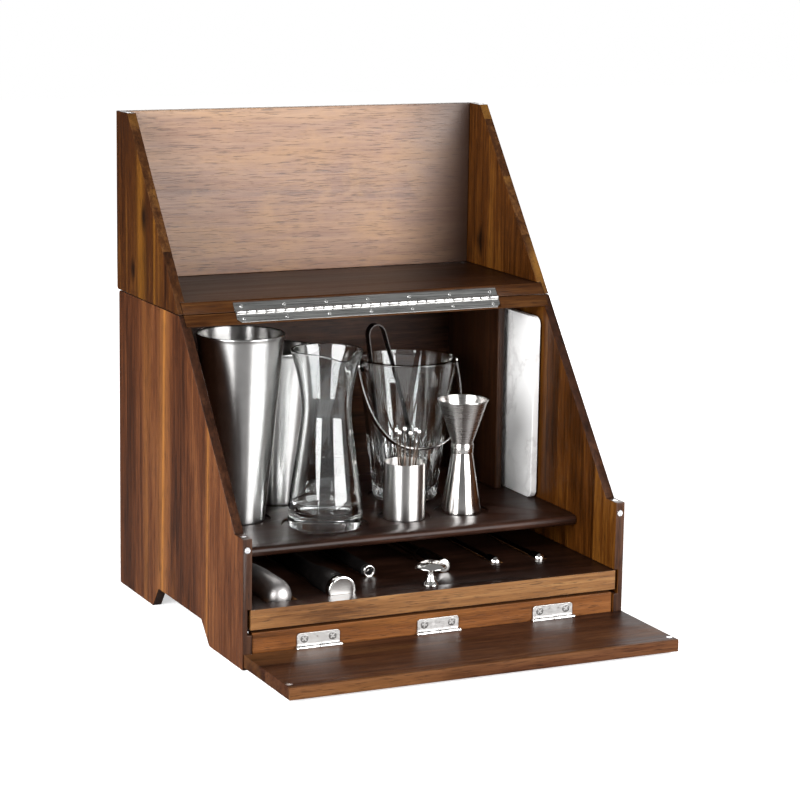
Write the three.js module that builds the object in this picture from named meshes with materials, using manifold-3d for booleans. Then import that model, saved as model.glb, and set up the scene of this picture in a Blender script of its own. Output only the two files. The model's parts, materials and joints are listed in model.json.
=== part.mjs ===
// Tabletop bar box: cabinet with shelf and sliding tray, swing-over lid, drop flap, and the barware it holds.
// Millimetres. x runs across, y to the back from the front edges of the sides, z up from the table.
import * as THREE from 'three';
import { mergeVertices } from 'three/addons/utils/BufferGeometryUtils.js';
import Module from 'manifold-3d';

const wasm = await Module();
wasm.setup();

// Box
const boxWidth = 406;
const cabinetHeight = 309;
const cabinetDepth = 341.5;
const sideThickness = 9.5;
const boardThickness = 10.5;
const stepHeight = 126;
const stepDepth = 20.5;
const slopeTopDepth = 167.14;
const outerCornerRadius = 3;
const closedLidProud = 13;

// Cut-out under each side that leaves two feet
const archFootFront = 86;
const archFootBack = 243;
const archTopFront = 107;
const archTopBack = 226;
const archHeight = 21.5;

// Clearances: between pieces that touch, and between closed lid and cabinet
const fitGap = 0.3;
const seamGap = 0.6;

// How far a cutter runs past a face
const overrun = 2;

// How far board ends are let into the sides
const housingDepth = 4.5;

// Back panel of the cabinet starts level with the underside of the rail
const railBottom = 14;
const railTop = 34.5;
const railThickness = 10;
const railSetBack = 2.1;
const railEndGap = 1;

// Shelf
const shelfTop = 95.5;
const shelfThickness = 10;
const shelfFront = 77.9;
const shelfShoulder = 12;
const wellDepth = 2;
const wellGap = 6;

// Tray on its thin bottom board
const trayGrooveReach = 1.3;
const trayBottom = 38;
const trayTop = 57.4;
const trayBackGap = 6;
const trayGrooveBottom = 33.2;
const trayGrooveTopGap = 0.4;

// Pull knob of the tray
const knobDepth = 19;
const knobBaseRadius = 8.2;
const knobNeckRadius = 3.5;
const knobHeadRadius = 15.5;
const knobHeight = 24.2;
const knobTenonRadius = 3.4;
const knobTenonLength = 8;
const knobHeadShares = [[0.45, 0.64], [0.9, 0.69], [1, 0.74], [0.9, 0.83], [0.62, 0.93], [0.3, 0.985]];
const knobFootHeightShare = 0.04;
const knobNeckLowShare = 0.42;
const knobNeckHighShare = 0.6;
const knobAnkleRadiusShare = 0.66;
const knobAnkleHeightShare = 0.2;

// Slot for the white board
const dividerFromSide = 15.5;
const dividerThickness = 8;
const dividerDepth = 117;
const dividerEdgeRadius = 3;
const whiteBoardFromSide = 9.5;
const whiteBoardThickness = 7;
const whiteBoardBackGap = 10;
const whiteBoardDepth = 160;
const whiteBoardTopGap = 12;
const whiteBoardCornerRadius = 8.5;

// Round magnets
const magnetRadius = 3;
const magnetThickness = 2.5;
const magnetInset = 0.1;
const magnetSideGap = 0.2;
const frontMagnetHeight = 115;
const stepMagnetDepth = 11;

// Long hinge between roof and lid
const longHingeLength = 288;
const longBarrelRadius = 2.1;
const longPinRadius = 0.9;
const longLeafThickness = 1.2;
const longLeafReach = 11.3;
const longLeafInset = 0.1;
const longLeafCornerClip = 4;
const longNotchGap = 0.5;
const longCoveGap = 0.6;
const longScrewSpacing = 45.5;
const longScrewReach = 7;
const longScrewSeatRadius = 2;
const longScrewSeatDepth = 0.7;
const knuckleGap = 0.3;
const knuckleCount = 28;
const longScrewCount = 7;

// Flap and its three butt hinges
const flapEndInset = 1;
const flapTop = 15.5;
const flapThickness = 12;
const flapEdgeRadius = 1;
const flapAxisDepth = 0.8;
const flapBackGap = 0.4;
const flapReach = 110.5;
const flapHingeShare = 0.6182;
const flapHingeLength = 44;
const flapBarrelRadius = 2.5;
const flapPinRadius = 1;
const flapPinHeadRadius = 2.1;
const flapPinHeadLength = 0.8;
const flapLeafThickness = 1.2;
const railLeafHeight = 14;
const railLeafCornerRadius = 3;
const flapLeafReach = 11;
const flapLeafInset = 0.2;
const flapNotchGap = 0.45;
const flapKnuckleTab = 0.5;
const flapScrewSpacing = 29;
const railScrewHeight = 8.5;
const flapScrewReach = 7;
const railScrewSeatRadius = 4.2;
const flapScrewSeatRadius = 3.6;
const flapScrewSeatDepth = 0.6;

// Tools lying in the tray; an across share is a place measured in half widths of the tray
const domedToolAcrossShare = -0.7957;
const domedToolFront = 19.5;
const domedToolLength = 210;
const domedToolRadius = 15.5;
const domedToolHeight = 59.6;
const domedToolShares = [[0, 0], [0.45, 0.006], [0.78, 0.03], [0.95, 0.065], [1, 0.1], [1, 0.3],
  [0.9, 0.42], [0.62, 0.6], [0.5, 0.95], [0.3, 0.99], [0, 1]];
const muddlerAcrossShare = -0.4764;
const muddlerFront = 19.7;
const muddlerLength = 190;
const muddlerRadius = 14.1;
const muddlerHeight = 60.8;
const muddlerCapLength = 9;
const muddlerBodyShares = [[0.9, 0], [0.94, 0.1], [0.8, 0.25], [0.58, 0.4], [0.62, 0.7], [0.7, 0.9],
  [0.5, 0.99], [0, 1]];
const muddlerChamfer = 1;
const openerAcrossShare = -0.2156;
const openerFront = 70;
const openerRingRadius = 5.2;
const openerRingWire = 1.2;
const openerHeight = 62.6;
const openerNeckLength = 4;
const openerTenonLength = 6;
const openerHandleLength = 98;
const openerHandleWidth = 13;
const openerHandleThickness = 11;
const openerHandleCornerShare = 0.45;
const roundToolAcrossShare = 0.1673;
const roundToolFront = 55;
const roundToolLength = 165;
const roundToolRadius = 7.7;
const roundToolHeight = 63.2;
const roundToolShares = [[0, 0], [0.8, 0], [0.95, 0.012], [1, 0.035], [1, 0.3], [0.7, 0.38], [0.7, 0.94],
  [0.45, 0.99], [0, 1]];
const slimToolAcrossShares = [0.5062, 0.7505];
const slimToolFronts = [68.5, 64.2];
const slimToolLength = 165;
const slimToolRadius = 5.5;
const slimToolHeight = 57.4;
const slimToolShares = [[0, 0], [0.6, 0.006], [0.9, 0.018], [1, 0.035], [0.9, 0.12], [0.6, 0.2],
  [0.6, 0.96], [0, 1]];

// Barware stands on the shelf; an across share is a place measured in half widths of the inside,
// a height share is a height measured in clear heights over the shelf
// Tins
const largeTinAcrossShare = -0.6615;
const largeTinFromBack = 137;
const largeTinHeightShare = 0.9292;
const largeTinRimRadius = 44.4;
const largeTinBaseRadius = 25;
const smallTinAcrossShare = -0.3307;
const tinSpacing = 89.11;
const smallTinHeightShare = 0.7875;
const smallTinRimRadius = 45;
const smallTinBaseRadius = 25;
const tinWall = 1;
const tinFloor = 1.2;
const tinRimBead = 0.9;
const tinBeadHeight = 3;
const tinFootHeight = 3;
const tinFootInset = 2;

// Carafe of thick glass
const carafeAcrossShare = -0.2997;
const carafeSpacing = 87.81;
const carafeHeightShare = 0.872;
const carafeBaseRadius = 37.7;
const carafeWall = 2.6;
const carafeFloor = 11;
const carafeShares = [[0.94, 0], [1, 0.03], [0.99, 0.1], [0.93, 0.22], [0.84, 0.35], [0.75, 0.48],
  [0.68, 0.6], [0.663, 0.68], [0.7, 0.77], [0.78, 0.86], [0.88, 0.94], [0.965, 1]];
const spoutReach = 9;
const spoutDrop = 5;
const spoutStartShare = 0.75;
const spoutSpread = 0.38;

// Ice bucket with bail and tongs
const bucketAcrossShare = 0.3618;
const bucketFromBack = 105;
const bucketHeightShare = 0.724;
const bucketBaseRadius = 33;
const bucketRimRadius = 51;
const bucketWall = 3.6;
const bucketFloor = 9;
const bucketFootShare = 0.02;
const earHeightShare = 0.953;
const earRadius = 6;
const earProud = 4;
const earRootDepth = 3;
const bailThickness = 1.5;
const bailWidth = 6;
const bailDrop = 92;
const bailRoundness = 0.8;
const bailGlassGap = 0.17;
const bailPinRadius = 1.5;
const bailPinLength = 3.6;
const bailEyeRadius = 4.4;
const tongsLengthShare = 0.8598;
const tongsHalfWidth = 10;
const tongsTipHalfWidth = 16.5;
const tongsThickness = 1.4;
const tongsWidth = 10;
const tongsRimRoom = 16.5;
const tongsKneeShare = 0.5;
const tongsBendShare = 0.93;

// Double jigger
const jiggerAcrossShare = 0.4894;
const jiggerFromBack = 187;
const jiggerHeight = 117;
const jiggerBaseRadius = 21;
const jiggerRimRadius = 26;
const jiggerBandRadius = 11.6;
const jiggerWaistRadius = 10.6;
const jiggerWaistLowShare = 0.53;
const jiggerWaistHighShare = 0.61;
const jiggerWall = 0.9;
const jiggerFloor = 1;
const jiggerWell = 28;
const jiggerRimBead = 0.8;
const jiggerBandEdge = 0.8;
const jiggerBeadHeight = 1.6;

// Pick cup and picks
const cupAcrossShare = 0.1499;
const cupFromBack = 190;
const cupHeight = 58.2;
const cupRadius = 21.2;
const cupWall = 1;
const cupFloor = 1.4;
const pickRingShare = 0.37;
const pickRingOffset = 2.5;
const pickRingRadius = 11.6;
const pickTop = 182.2;
const pickHeadRadius = 2.3;
const pickHeadStretch = 1.7;
const pickShaftRadius = 0.9;
const pickFirstAngle = 19.5;
const pickCount = 6;

// Steps round each kind of curve
const cornerSteps = 4;
const smallSteps = 12;
const boreSteps = 8;
const ballSteps = 10;
const shaftSteps = 6;
const roundSteps = 24;
const vesselSteps = 32;
const carafeSteps = 36;
const bailSteps = 18;
const weldDistance = 1e-4;

const halfWidth = boxWidth / 2;
const innerX = halfWidth - sideThickness;
const housedX = innerX + housingDepth;
const roofBottom = cabinetHeight - boardThickness;
const backInner = cabinetDepth - boardThickness;
const slopeRun = slopeTopDepth - stepDepth;
const slopeRise = cabinetHeight - stepHeight;
const slopeLength = Math.hypot(slopeRun, slopeRise);
const up = { y: slopeRun / slopeLength, z: slopeRise / slopeLength };
const out = { y: -up.z, z: up.y };
const halfSeam = seamGap / 2;
const lidAxis = { y: slopeTopDepth + halfSeam * (1 - out.z) / out.y, z: cabinetHeight + halfSeam };
const lidBottom = lidAxis.z + halfSeam;
const lidTop = lidAxis.z + (lidAxis.z - stepHeight - seamGap);
const lidBack = lidAxis.y + (lidAxis.y + closedLidProud);
const lidNarrowFront = slopeDepthAt(lidTop);
const flapAxis = { y: -flapAxisDepth, z: flapTop };
const flapFar = flapAxis.y - flapReach;
const flapBack = flapAxis.y - flapBackGap;
const shelfBottom = shelfTop - shelfThickness;
const standingHeight = shelfTop - wellDepth + fitGap;
const magnetX = halfWidth - sideThickness / 2;

const trayHalfWidth = innerX + trayGrooveReach;
const trayBack = backInner - trayBackGap;
const dividerRightX = innerX - dividerFromSide;
const dividerFront = backInner - dividerDepth;
const whiteBoardLeftX = innerX - whiteBoardFromSide;
const whiteBoardFront = backInner - whiteBoardBackGap - whiteBoardDepth;
const whiteBoardHeight = roofBottom - whiteBoardTopGap - shelfTop - fitGap;
const flapHalfWidth = halfWidth - flapEndInset;
const flapHingeSpacing = halfWidth * flapHingeShare;

const domedToolX = trayHalfWidth * domedToolAcrossShare;
const muddlerX = trayHalfWidth * muddlerAcrossShare;
const openerX = trayHalfWidth * openerAcrossShare;
const roundToolX = trayHalfWidth * roundToolAcrossShare;
const slimToolXs = slimToolAcrossShares.map((share) => trayHalfWidth * share);

const clearHeight = roofBottom - standingHeight;
const largeTinHeight = clearHeight * largeTinHeightShare;
const smallTinHeight = clearHeight * smallTinHeightShare;
const carafeHeight = clearHeight * carafeHeightShare;
const bucketHeight = clearHeight * bucketHeightShare;
const tongsLength = clearHeight * tongsLengthShare;
const largeTinX = innerX * largeTinAcrossShare;
const largeTinY = backInner - largeTinFromBack;
const smallTinX = innerX * smallTinAcrossShare;
const smallTinY = largeTinY + depthBetween(smallTinX - largeTinX, tinSpacing);
const carafeX = innerX * carafeAcrossShare;
const carafeY = largeTinY - depthBetween(carafeX - largeTinX, carafeSpacing);
const bucketX = innerX * bucketAcrossShare;
const bucketY = backInner - bucketFromBack;
const jiggerX = innerX * jiggerAcrossShare;
const jiggerY = backInner - jiggerFromBack;
const cupX = innerX * cupAcrossShare;
const cupY = backInner - cupFromBack;
const pickRingX = cupX + pickRingOffset;

// Depth between two pieces a spacing apart, none once they stand that far apart across
function depthBetween(across, spacing) {
  return Math.sqrt(Math.max(0, spacing ** 2 - across ** 2));
}

// Depth of the sloping plane, which sits half the seam behind the hinge axis, at a given height
function slopeDepthAt(z) {
  return lidAxis.y + (-halfSeam - out.z * (z - lidAxis.z)) / out.y;
}

// Point in the y-z plane at a distance up the slope and a lift off it, both from the hinge axis
function onSlope(distance, lift) {
  return [lidAxis.y + distance * up.y + lift * out.y, lidAxis.z + distance * up.z + lift * out.z];
}

// Closed outline; a third value rounds its corner to that radius
function outline(corners) {
  const path = [];
  corners.forEach(([u, v, radius = 0], index) => {
    const here = new THREE.Vector2(u, v);
    if (radius === 0) {
      path.push(here);
      return;
    }
    const before = new THREE.Vector2(...corners.at(index - 1)).sub(here).normalize();
    const after = new THREE.Vector2(...corners[(index + 1) % corners.length]).sub(here).normalize();
    const half = Math.acos(before.dot(after)) / 2;
    const centre = before.clone().add(after).normalize().multiplyScalar(radius / Math.sin(half)).add(here);
    const start = before.multiplyScalar(radius / Math.tan(half)).add(here).sub(centre);
    const end = after.multiplyScalar(radius / Math.tan(half)).add(here).sub(centre);
    const turn = Math.atan2(start.cross(end), start.dot(end));
    for (let step = 0; step <= cornerSteps; step += 1) {
      path.push(start.clone().rotateAround(new THREE.Vector2(), turn * step / cornerSteps).add(centre));
    }
  });
  return path;
}

// Solid of a geometry, with its faces turned outward
function solid(geometry) {
  geometry.deleteAttribute('normal');
  geometry.deleteAttribute('uv');
  const merged = mergeVertices(geometry, weldDistance);
  const faces = [];
  for (let i = 0; i < merged.index.count; i += 3) {
    const [a, b, c] = merged.index.array.subarray(i, i + 3);
    if (a !== b && b !== c && c !== a) {
      faces.push([a, b, c]);
    }
  }
  const vertProperties = new Float32Array(merged.attributes.position.array);
  const made = faceSolid(vertProperties, faces);
  return made.volume() < 0 ? faceSolid(vertProperties, faces.map(([a, b, c]) => [a, c, b])) : made;
}

function faceSolid(vertProperties, faces) {
  const triVerts = new Uint32Array(faces.flat());
  return new wasm.Manifold(new wasm.Mesh({ numProp: 3, vertProperties, triVerts }));
}

// Outline pushed from one value to another along the third direction of a frame
function prism(corners, from, to, frame) {
  const depth = Math.abs(to - from);
  const shape = new THREE.Shape(outline(corners));
  const geometry = new THREE.ExtrudeGeometry(shape, { depth, bevelEnabled: false });
  geometry.translate(0, 0, Math.min(from, to));
  return solid(geometry.applyMatrix4(frame));
}

function frameOf(first, second, third) {
  return new THREE.Matrix4().makeBasis(
    new THREE.Vector3(...first),
    new THREE.Vector3(...second),
    new THREE.Vector3(...third),
  );
}

// Outline in y and z pushed across x
function acrossX(corners, from, to) {
  return prism(corners, from, to, frameOf([0, 1, 0], [0, 0, 1], [1, 0, 0]));
}

// Outline in x and z pushed along y
function alongY(corners, from, to) {
  return prism(corners, from, to, frameOf([1, 0, 0], [0, 0, 1], [0, 1, 0]));
}

// Outline in x and y pushed up z
function upZ(corners, from, to) {
  return prism(corners, from, to, new THREE.Matrix4());
}

function block(xs, ys, zs) {
  const middle = [xs, ys, zs].map(([from, to]) => (from + to) / 2);
  const sizes = [xs, ys, zs].map(([from, to]) => Math.abs(to - from));
  return solid(new THREE.BoxGeometry(...sizes).translate(...middle));
}

// Round bar between two points
function bar(radius, from, to, steps = roundSteps) {
  const start = new THREE.Vector3(...from);
  const way = new THREE.Vector3(...to).sub(start);
  const geometry = new THREE.CylinderGeometry(radius, radius, way.length(), steps);
  const turn = new THREE.Quaternion().setFromUnitVectors(new THREE.Vector3(0, 1, 0), way.clone().normalize());
  geometry.applyQuaternion(turn).translate(...start.addScaledVector(way, 1 / 2));
  return solid(geometry);
}

// Profile of radius and height turned about an upright axis
function turned(profile, x, y, steps = vesselSteps) {
  const points = profile.map(([radius, height]) => new THREE.Vector2(radius, height));
  return solid(new THREE.LatheGeometry(points, steps).rotateX(Math.PI / 2).translate(x, y, 0));
}

// Profile of radius and depth turned about an axis that runs front to back
function turnedAlongY(profile, x, z, steps = roundSteps) {
  const points = profile.map(([radius, depth]) => new THREE.Vector2(radius, depth));
  return solid(new THREE.LatheGeometry(points, steps).translate(x, 0, z));
}

function tube(outer, inner, axis, from, to) {
  const ring = bar(outer, [from, axis.y, axis.z], [to, axis.y, axis.z], smallSteps);
  const start = [from - overrun, axis.y, axis.z];
  return ring.subtract(bar(inner, start, [to + overrun, axis.y, axis.z], boreSteps));
}

function cutAll(body, cutters) {
  return cutters.reduce((rest, cutter) => rest.subtract(cutter), body);
}

function joinAll(body, others) {
  return others.reduce((whole, other) => whole.add(other), body);
}

// Magnet let into a face at a point; inward is the unit direction into the board
function magnetBar(radius, face, inward, from, to) {
  const at = (depth) => face.map((value, axis) => value + inward[axis] * depth);
  return bar(radius, at(from), at(to), smallSteps);
}

function magnet(face, inward) {
  return magnetBar(magnetRadius, face, inward, magnetInset, magnetInset + magnetThickness);
}

function magnetSeat(face, inward) {
  const depth = magnetInset + magnetThickness + fitGap;
  return magnetBar(magnetRadius + magnetSideGap, face, inward, -overrun, depth);
}

const frontMagnet = (side) => [[side * magnetX, 0, frontMagnetHeight], [0, 1, 0]];
const stepMagnet = (side) => [[side * magnetX, stepMagnetDepth, stepHeight], [0, 0, -1]];
const lidMagnet = (side) => [[side * magnetX, lidAxis.y + lidAxis.y - stepMagnetDepth, lidTop], [0, 0, -1]];
const flapMagnetY = flapAxis.y - (frontMagnetHeight - flapTop);
const flapMagnet = (side) => [[side * magnetX, flapMagnetY, flapTop], [0, 0, -1]];

// Long board housings cut in the inner face of a side
function sideCut(side, depth, ys, zs) {
  return block([side * (innerX - overrun), side * (innerX + depth)], ys, zs);
}

function cabinetSide(side) {
  const corners = [
    [0, 0],
    [archFootFront, 0],
    [archTopFront, archHeight],
    [archTopBack, archHeight],
    [archFootBack, 0],
    [cabinetDepth, 0],
    [cabinetDepth, cabinetHeight, outerCornerRadius],
    [slopeDepthAt(cabinetHeight), cabinetHeight],
    [slopeDepthAt(stepHeight), stepHeight],
    [0, stepHeight],
  ];
  const panel = acrossX(corners, side * innerX, side * halfWidth);
  const roofRebate = [roofBottom - fitGap, cabinetHeight + overrun];
  const shelfRun = [shelfFront + shelfShoulder - fitGap, backInner];
  return cutAll(panel, [
    sideCut(side, housingDepth, [-overrun, backInner], [trayGrooveBottom, trayTop + trayGrooveTopGap]),
    sideCut(side, housingDepth + fitGap, [0, cabinetDepth + overrun], roofRebate),
    sideCut(side, housingDepth + fitGap, shelfRun, [shelfBottom - fitGap, shelfTop + fitGap]),
    magnetSeat(...frontMagnet(side)),
    magnetSeat(...stepMagnet(side)),
  ]);
}

function lidSide(side) {
  const corners = [
    [slopeDepthAt(lidBottom), lidBottom],
    [lidBack, lidBottom, outerCornerRadius],
    [lidBack, lidTop],
    [lidNarrowFront, lidTop],
  ];
  const panel = acrossX(corners, side * innerX, side * halfWidth);
  const rebate = [lidBottom - overrun, lidBottom + boardThickness + fitGap];
  return cutAll(panel, [
    sideCut(side, housingDepth + fitGap, [0, lidBack + overrun], rebate),
    magnetSeat(...lidMagnet(side)),
  ]);
}

// Mortise and cove for the long hinge in the sloping front of a board; way is 1 up, -1 down the slope
function longHingeCuts(way) {
  const depth = halfSeam + longLeafInset + longLeafThickness + fitGap;
  const reach = way * (longLeafReach + fitGap);
  const corners = [onSlope(0, overrun), onSlope(reach, overrun), onSlope(reach, -depth), onSlope(0, -depth)];
  const end = longHingeLength / 2 + fitGap;
  const cove = bar(longBarrelRadius + longCoveGap, [-end, lidAxis.y, lidAxis.z], [end, lidAxis.y, lidAxis.z]);
  return [acrossX(corners, -end, end), cove];
}

function roofBoard() {
  const corners = [
    [slopeDepthAt(roofBottom), roofBottom],
    [cabinetDepth, roofBottom],
    [cabinetDepth, cabinetHeight, outerCornerRadius],
    [slopeDepthAt(cabinetHeight), cabinetHeight],
  ];
  return cutAll(acrossX(corners, -housedX, housedX), longHingeCuts(-1));
}

function lidBoard() {
  const boardTop = lidBottom + boardThickness;
  const corners = [
    [slopeDepthAt(lidBottom), lidBottom],
    [lidBack, lidBottom, outerCornerRadius],
    [lidBack, boardTop],
    [slopeDepthAt(boardTop), boardTop],
  ];
  return cutAll(acrossX(corners, -housedX, housedX), longHingeCuts(1));
}

function backPanel() {
  const end = innerX - fitGap;
  return block([-end, end], [backInner, cabinetDepth], [railBottom, roofBottom - fitGap]);
}

function lidBackPanel() {
  const end = innerX - fitGap;
  const bottom = lidBottom + boardThickness + fitGap;
  return block([-end, end], [lidBack - boardThickness, lidBack], [bottom, lidTop]);
}

function frontRail() {
  const end = innerX - railEndGap;
  return block([-end, end], [railSetBack, railSetBack + railThickness], [railBottom, railTop]);
}

function bottomBoard() {
  const end = housedX - fitGap;
  const ys = [railSetBack + railThickness + fitGap, backInner - fitGap];
  return block([-end, end], ys, [trayGrooveBottom + fitGap, trayBottom - fitGap]);
}

function shelf() {
  const radius = shelfThickness / 2;
  const bull = [
    [shelfFront, shelfBottom, radius * (1 - fitGap / shelfThickness)],
    [backInner - fitGap, shelfBottom],
    [backInner - fitGap, shelfTop],
    [shelfFront, shelfTop, radius * (1 - fitGap / shelfThickness)],
  ];
  const board = acrossX(bull, fitGap - innerX, innerX - fitGap);
  const tongueFront = shelfFront + shelfShoulder;
  const tongue = block([-housedX, housedX], [tongueFront, backInner - fitGap], [shelfBottom, shelfTop]);
  const wells = [
    [largeTinX, largeTinY, largeTinBaseRadius + wellGap],
    [smallTinX, smallTinY, smallTinBaseRadius + wellGap],
    [carafeX, carafeY, carafeBaseRadius + wellGap],
    [bucketX, bucketY, bucketBaseRadius + wellGap],
    [jiggerX, jiggerY, jiggerWell],
    [cupX, cupY, cupRadius + wellGap],
  ];
  return cutAll(board.add(tongue), wells.map(([x, y, radiusOfWell]) => (
    bar(radiusOfWell, [x, y, shelfTop - wellDepth], [x, y, shelfTop + overrun], vesselSteps)
  )));
}

function slotDivider() {
  const left = dividerRightX - dividerThickness;
  const corners = [
    [left, dividerFront, dividerEdgeRadius],
    [dividerRightX, dividerFront, dividerEdgeRadius],
    [dividerRightX, backInner - fitGap],
    [left, backInner - fitGap],
  ];
  return upZ(corners, shelfTop + fitGap, roofBottom - fitGap);
}

function whiteBoard() {
  const bottom = shelfTop + fitGap;
  const back = whiteBoardFront + whiteBoardDepth;
  const corners = [
    [whiteBoardFront, bottom, whiteBoardCornerRadius],
    [back, bottom, whiteBoardCornerRadius],
    [back, bottom + whiteBoardHeight, whiteBoardCornerRadius],
    [whiteBoardFront, bottom + whiteBoardHeight, whiteBoardCornerRadius],
  ];
  return acrossX(corners, whiteBoardLeftX, whiteBoardLeftX + whiteBoardThickness);
}

// Leaf of the long hinge: comb-edged plate with a knuckle at every other place, first 0 or 1
function longLeaf(way, first) {
  const half = longHingeLength / 2;
  const pitch = longHingeLength / knuckleCount;
  const lift = halfSeam + longLeafInset;
  const tab = Math.sqrt(longBarrelRadius ** 2 - (lift + longLeafThickness) ** 2);
  const bore = longPinRadius + fitGap;
  const comb = [];
  const rings = [];
  for (let place = 0; place < knuckleCount; place += 1) {
    const own = place % 2 === first;
    const inset = own ? knuckleGap / 2 : -knuckleGap / 2;
    const left = Math.max(-half, -half + place * pitch + inset);
    const right = Math.min(half, -half + (place + 1) * pitch - inset);
    const edge = own ? tab : longBarrelRadius + longNotchGap;
    comb.push([left, edge], [right, edge]);
    if (own) {
      rings.push(tube(longBarrelRadius, bore, lidAxis, left, right));
    }
  }
  const clip = first === 0 ? longLeafCornerClip : longLeafInset;
  comb.push([half, longLeafReach - clip], [half - clip, longLeafReach]);
  comb.push([clip - half, longLeafReach], [-half, longLeafReach - clip]);
  const frame = frameOf([1, 0, 0], [0, way * up.y, way * up.z], [0, out.y, out.z]);
  frame.setPosition(0, lidAxis.y, lidAxis.z);
  const plate = prism(comb, -lift - longLeafThickness, -lift, frame);
  const boreEnds = [-1, 1].map((side) => [side * (half + overrun), lidAxis.y, lidAxis.z]);
  const boreCut = bar(bore, ...boreEnds, boreSteps);
  return joinAll(plate, rings).subtract(boreCut);
}

function longLeafSeats(way) {
  const lift = halfSeam + longLeafInset;
  const seats = [];
  for (let screw = 0; screw < longScrewCount; screw += 1) {
    const x = (screw - (longScrewCount - 1) / 2) * longScrewSpacing;
    const top = [x, ...onSlope(way * longScrewReach, overrun)];
    const bottom = [x, ...onSlope(way * longScrewReach, -lift - longScrewSeatDepth)];
    seats.push(bar(longScrewSeatRadius, top, bottom, smallSteps));
  }
  return seats;
}

function longPin() {
  const half = longHingeLength / 2;
  return bar(longPinRadius, [-half, lidAxis.y, lidAxis.z], [half, lidAxis.y, lidAxis.z], smallSteps);
}

// Corners of a butt hinge leaf: its own knuckle on one half, a notch on the other
function buttLeafCorners(reach, cornerRadius, side) {
  const half = flapHingeLength / 2;
  const gap = knuckleGap / 2;
  const notch = flapBarrelRadius + flapNotchGap;
  return [
    [side * half, flapKnuckleTab],
    [side * gap, flapKnuckleTab],
    [side * gap, notch],
    [-side * half, notch],
    [-side * half, reach, cornerRadius],
    [side * half, reach, cornerRadius],
  ];
}

// Adds the knuckle of a butt hinge leaf and clears its bore and screw seats
function finishButtLeaf(plate, x, side, seats) {
  const half = flapHingeLength / 2;
  const gap = knuckleGap / 2;
  const bore = flapPinRadius + fitGap;
  const ends = [x + side * half, x + side * gap].sort((a, b) => a - b);
  const knuckle = tube(flapBarrelRadius, bore, flapAxis, ...ends);
  const boreEnds = [x - half - overrun, x + half + overrun].map((end) => [end, flapAxis.y, flapAxis.z]);
  return cutAll(plate.add(knuckle), [bar(bore, ...boreEnds, boreSteps), ...seats]);
}

// Butt hinge leaf that stands in front of the rail, its back face the fitting gap off it
function railLeaf(x) {
  const back = railSetBack - fitGap;
  const frame = frameOf([1, 0, 0], [0, 0, 1], [0, 1, 0]).setPosition(x, 0, flapAxis.z);
  const corners = buttLeafCorners(railLeafHeight, railLeafCornerRadius, -1);
  const plate = prism(corners, back - flapLeafThickness, back, frame);
  const front = back - flapLeafThickness;
  const seats = [-1, 1].map((side) => {
    const screwX = x + side * flapScrewSpacing / 2;
    const screwZ = flapAxis.z + railScrewHeight;
    const floor = front + flapScrewSeatDepth;
    return bar(railScrewSeatRadius, [screwX, front - overrun, screwZ], [screwX, floor, screwZ], smallSteps);
  });
  return finishButtLeaf(plate, x, -1, seats);
}

// Butt hinge leaf let into the back edge of the flap
function flapLeaf(x) {
  const front = flapBack - flapLeafInset;
  const frame = frameOf([1, 0, 0], [0, 0, -1], [0, 1, 0]).setPosition(x, 0, flapAxis.z);
  const plate = prism(buttLeafCorners(flapLeafReach, 0, 1), front - flapLeafThickness, front, frame);
  const seats = [-1, 1].map((side) => {
    const screwX = x + side * flapScrewSpacing / 2;
    const screwZ = flapAxis.z - flapScrewReach;
    const floor = front - flapScrewSeatDepth;
    return bar(flapScrewSeatRadius, [screwX, front + overrun, screwZ], [screwX, floor, screwZ], smallSteps);
  });
  return finishButtLeaf(plate, x, 1, seats);
}

function flapPin(x) {
  const headStart = flapHingeLength / 2 + fitGap;
  const headEnd = headStart + flapPinHeadLength;
  const piece = (radius, from, to) => (
    bar(radius, [x + from, flapAxis.y, flapAxis.z], [x + to, flapAxis.y, flapAxis.z], smallSteps)
  );
  return joinAll(piece(flapPinRadius, -headEnd, headEnd), [
    piece(flapPinHeadRadius, headStart, headEnd),
    piece(flapPinHeadRadius, -headEnd, -headStart),
  ]);
}

function flapHingeXs() {
  return [-flapHingeSpacing, 0, flapHingeSpacing];
}

function flapHingeCuts(x) {
  const notchEnd = flapHingeLength / 2 + flapPinHeadLength + fitGap + fitGap;
  const mortiseEnd = flapHingeLength / 2 + fitGap;
  const notch = bar(
    flapBarrelRadius + flapNotchGap,
    [x - notchEnd, flapAxis.y, flapAxis.z],
    [x + notchEnd, flapAxis.y, flapAxis.z],
  );
  const floor = flapBack - flapLeafInset - flapLeafThickness - fitGap;
  const low = flapAxis.z - flapLeafReach - fitGap;
  return [notch, block([x - mortiseEnd, x + mortiseEnd], [floor, overrun], [low, flapAxis.z + overrun])];
}

function flapBoard() {
  const bottom = flapTop - flapThickness;
  const corners = [
    [flapFar, bottom, flapEdgeRadius],
    [flapBack, bottom],
    [flapBack, flapTop],
    [flapFar, flapTop, flapEdgeRadius],
  ];
  return cutAll(acrossX(corners, -flapHalfWidth, flapHalfWidth), [
    ...flapHingeXs().flatMap(flapHingeCuts),
    magnetSeat(...flapMagnet(-1)),
    magnetSeat(...flapMagnet(1)),
  ]);
}

// Profile from shares of a radius and a length, starting at a depth or height
function sharedProfile(shares, radius, start, length) {
  return shares.map(([radiusShare, lengthShare]) => [radiusShare * radius, start + lengthShare * length]);
}

// Round-bottomed bed for a tool that lies front to back in the tray
function toolBed(x, z, radius, front, length) {
  return bar(radius + fitGap, [x, front - fitGap, z], [x, front + length + fitGap, z]);
}

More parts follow.
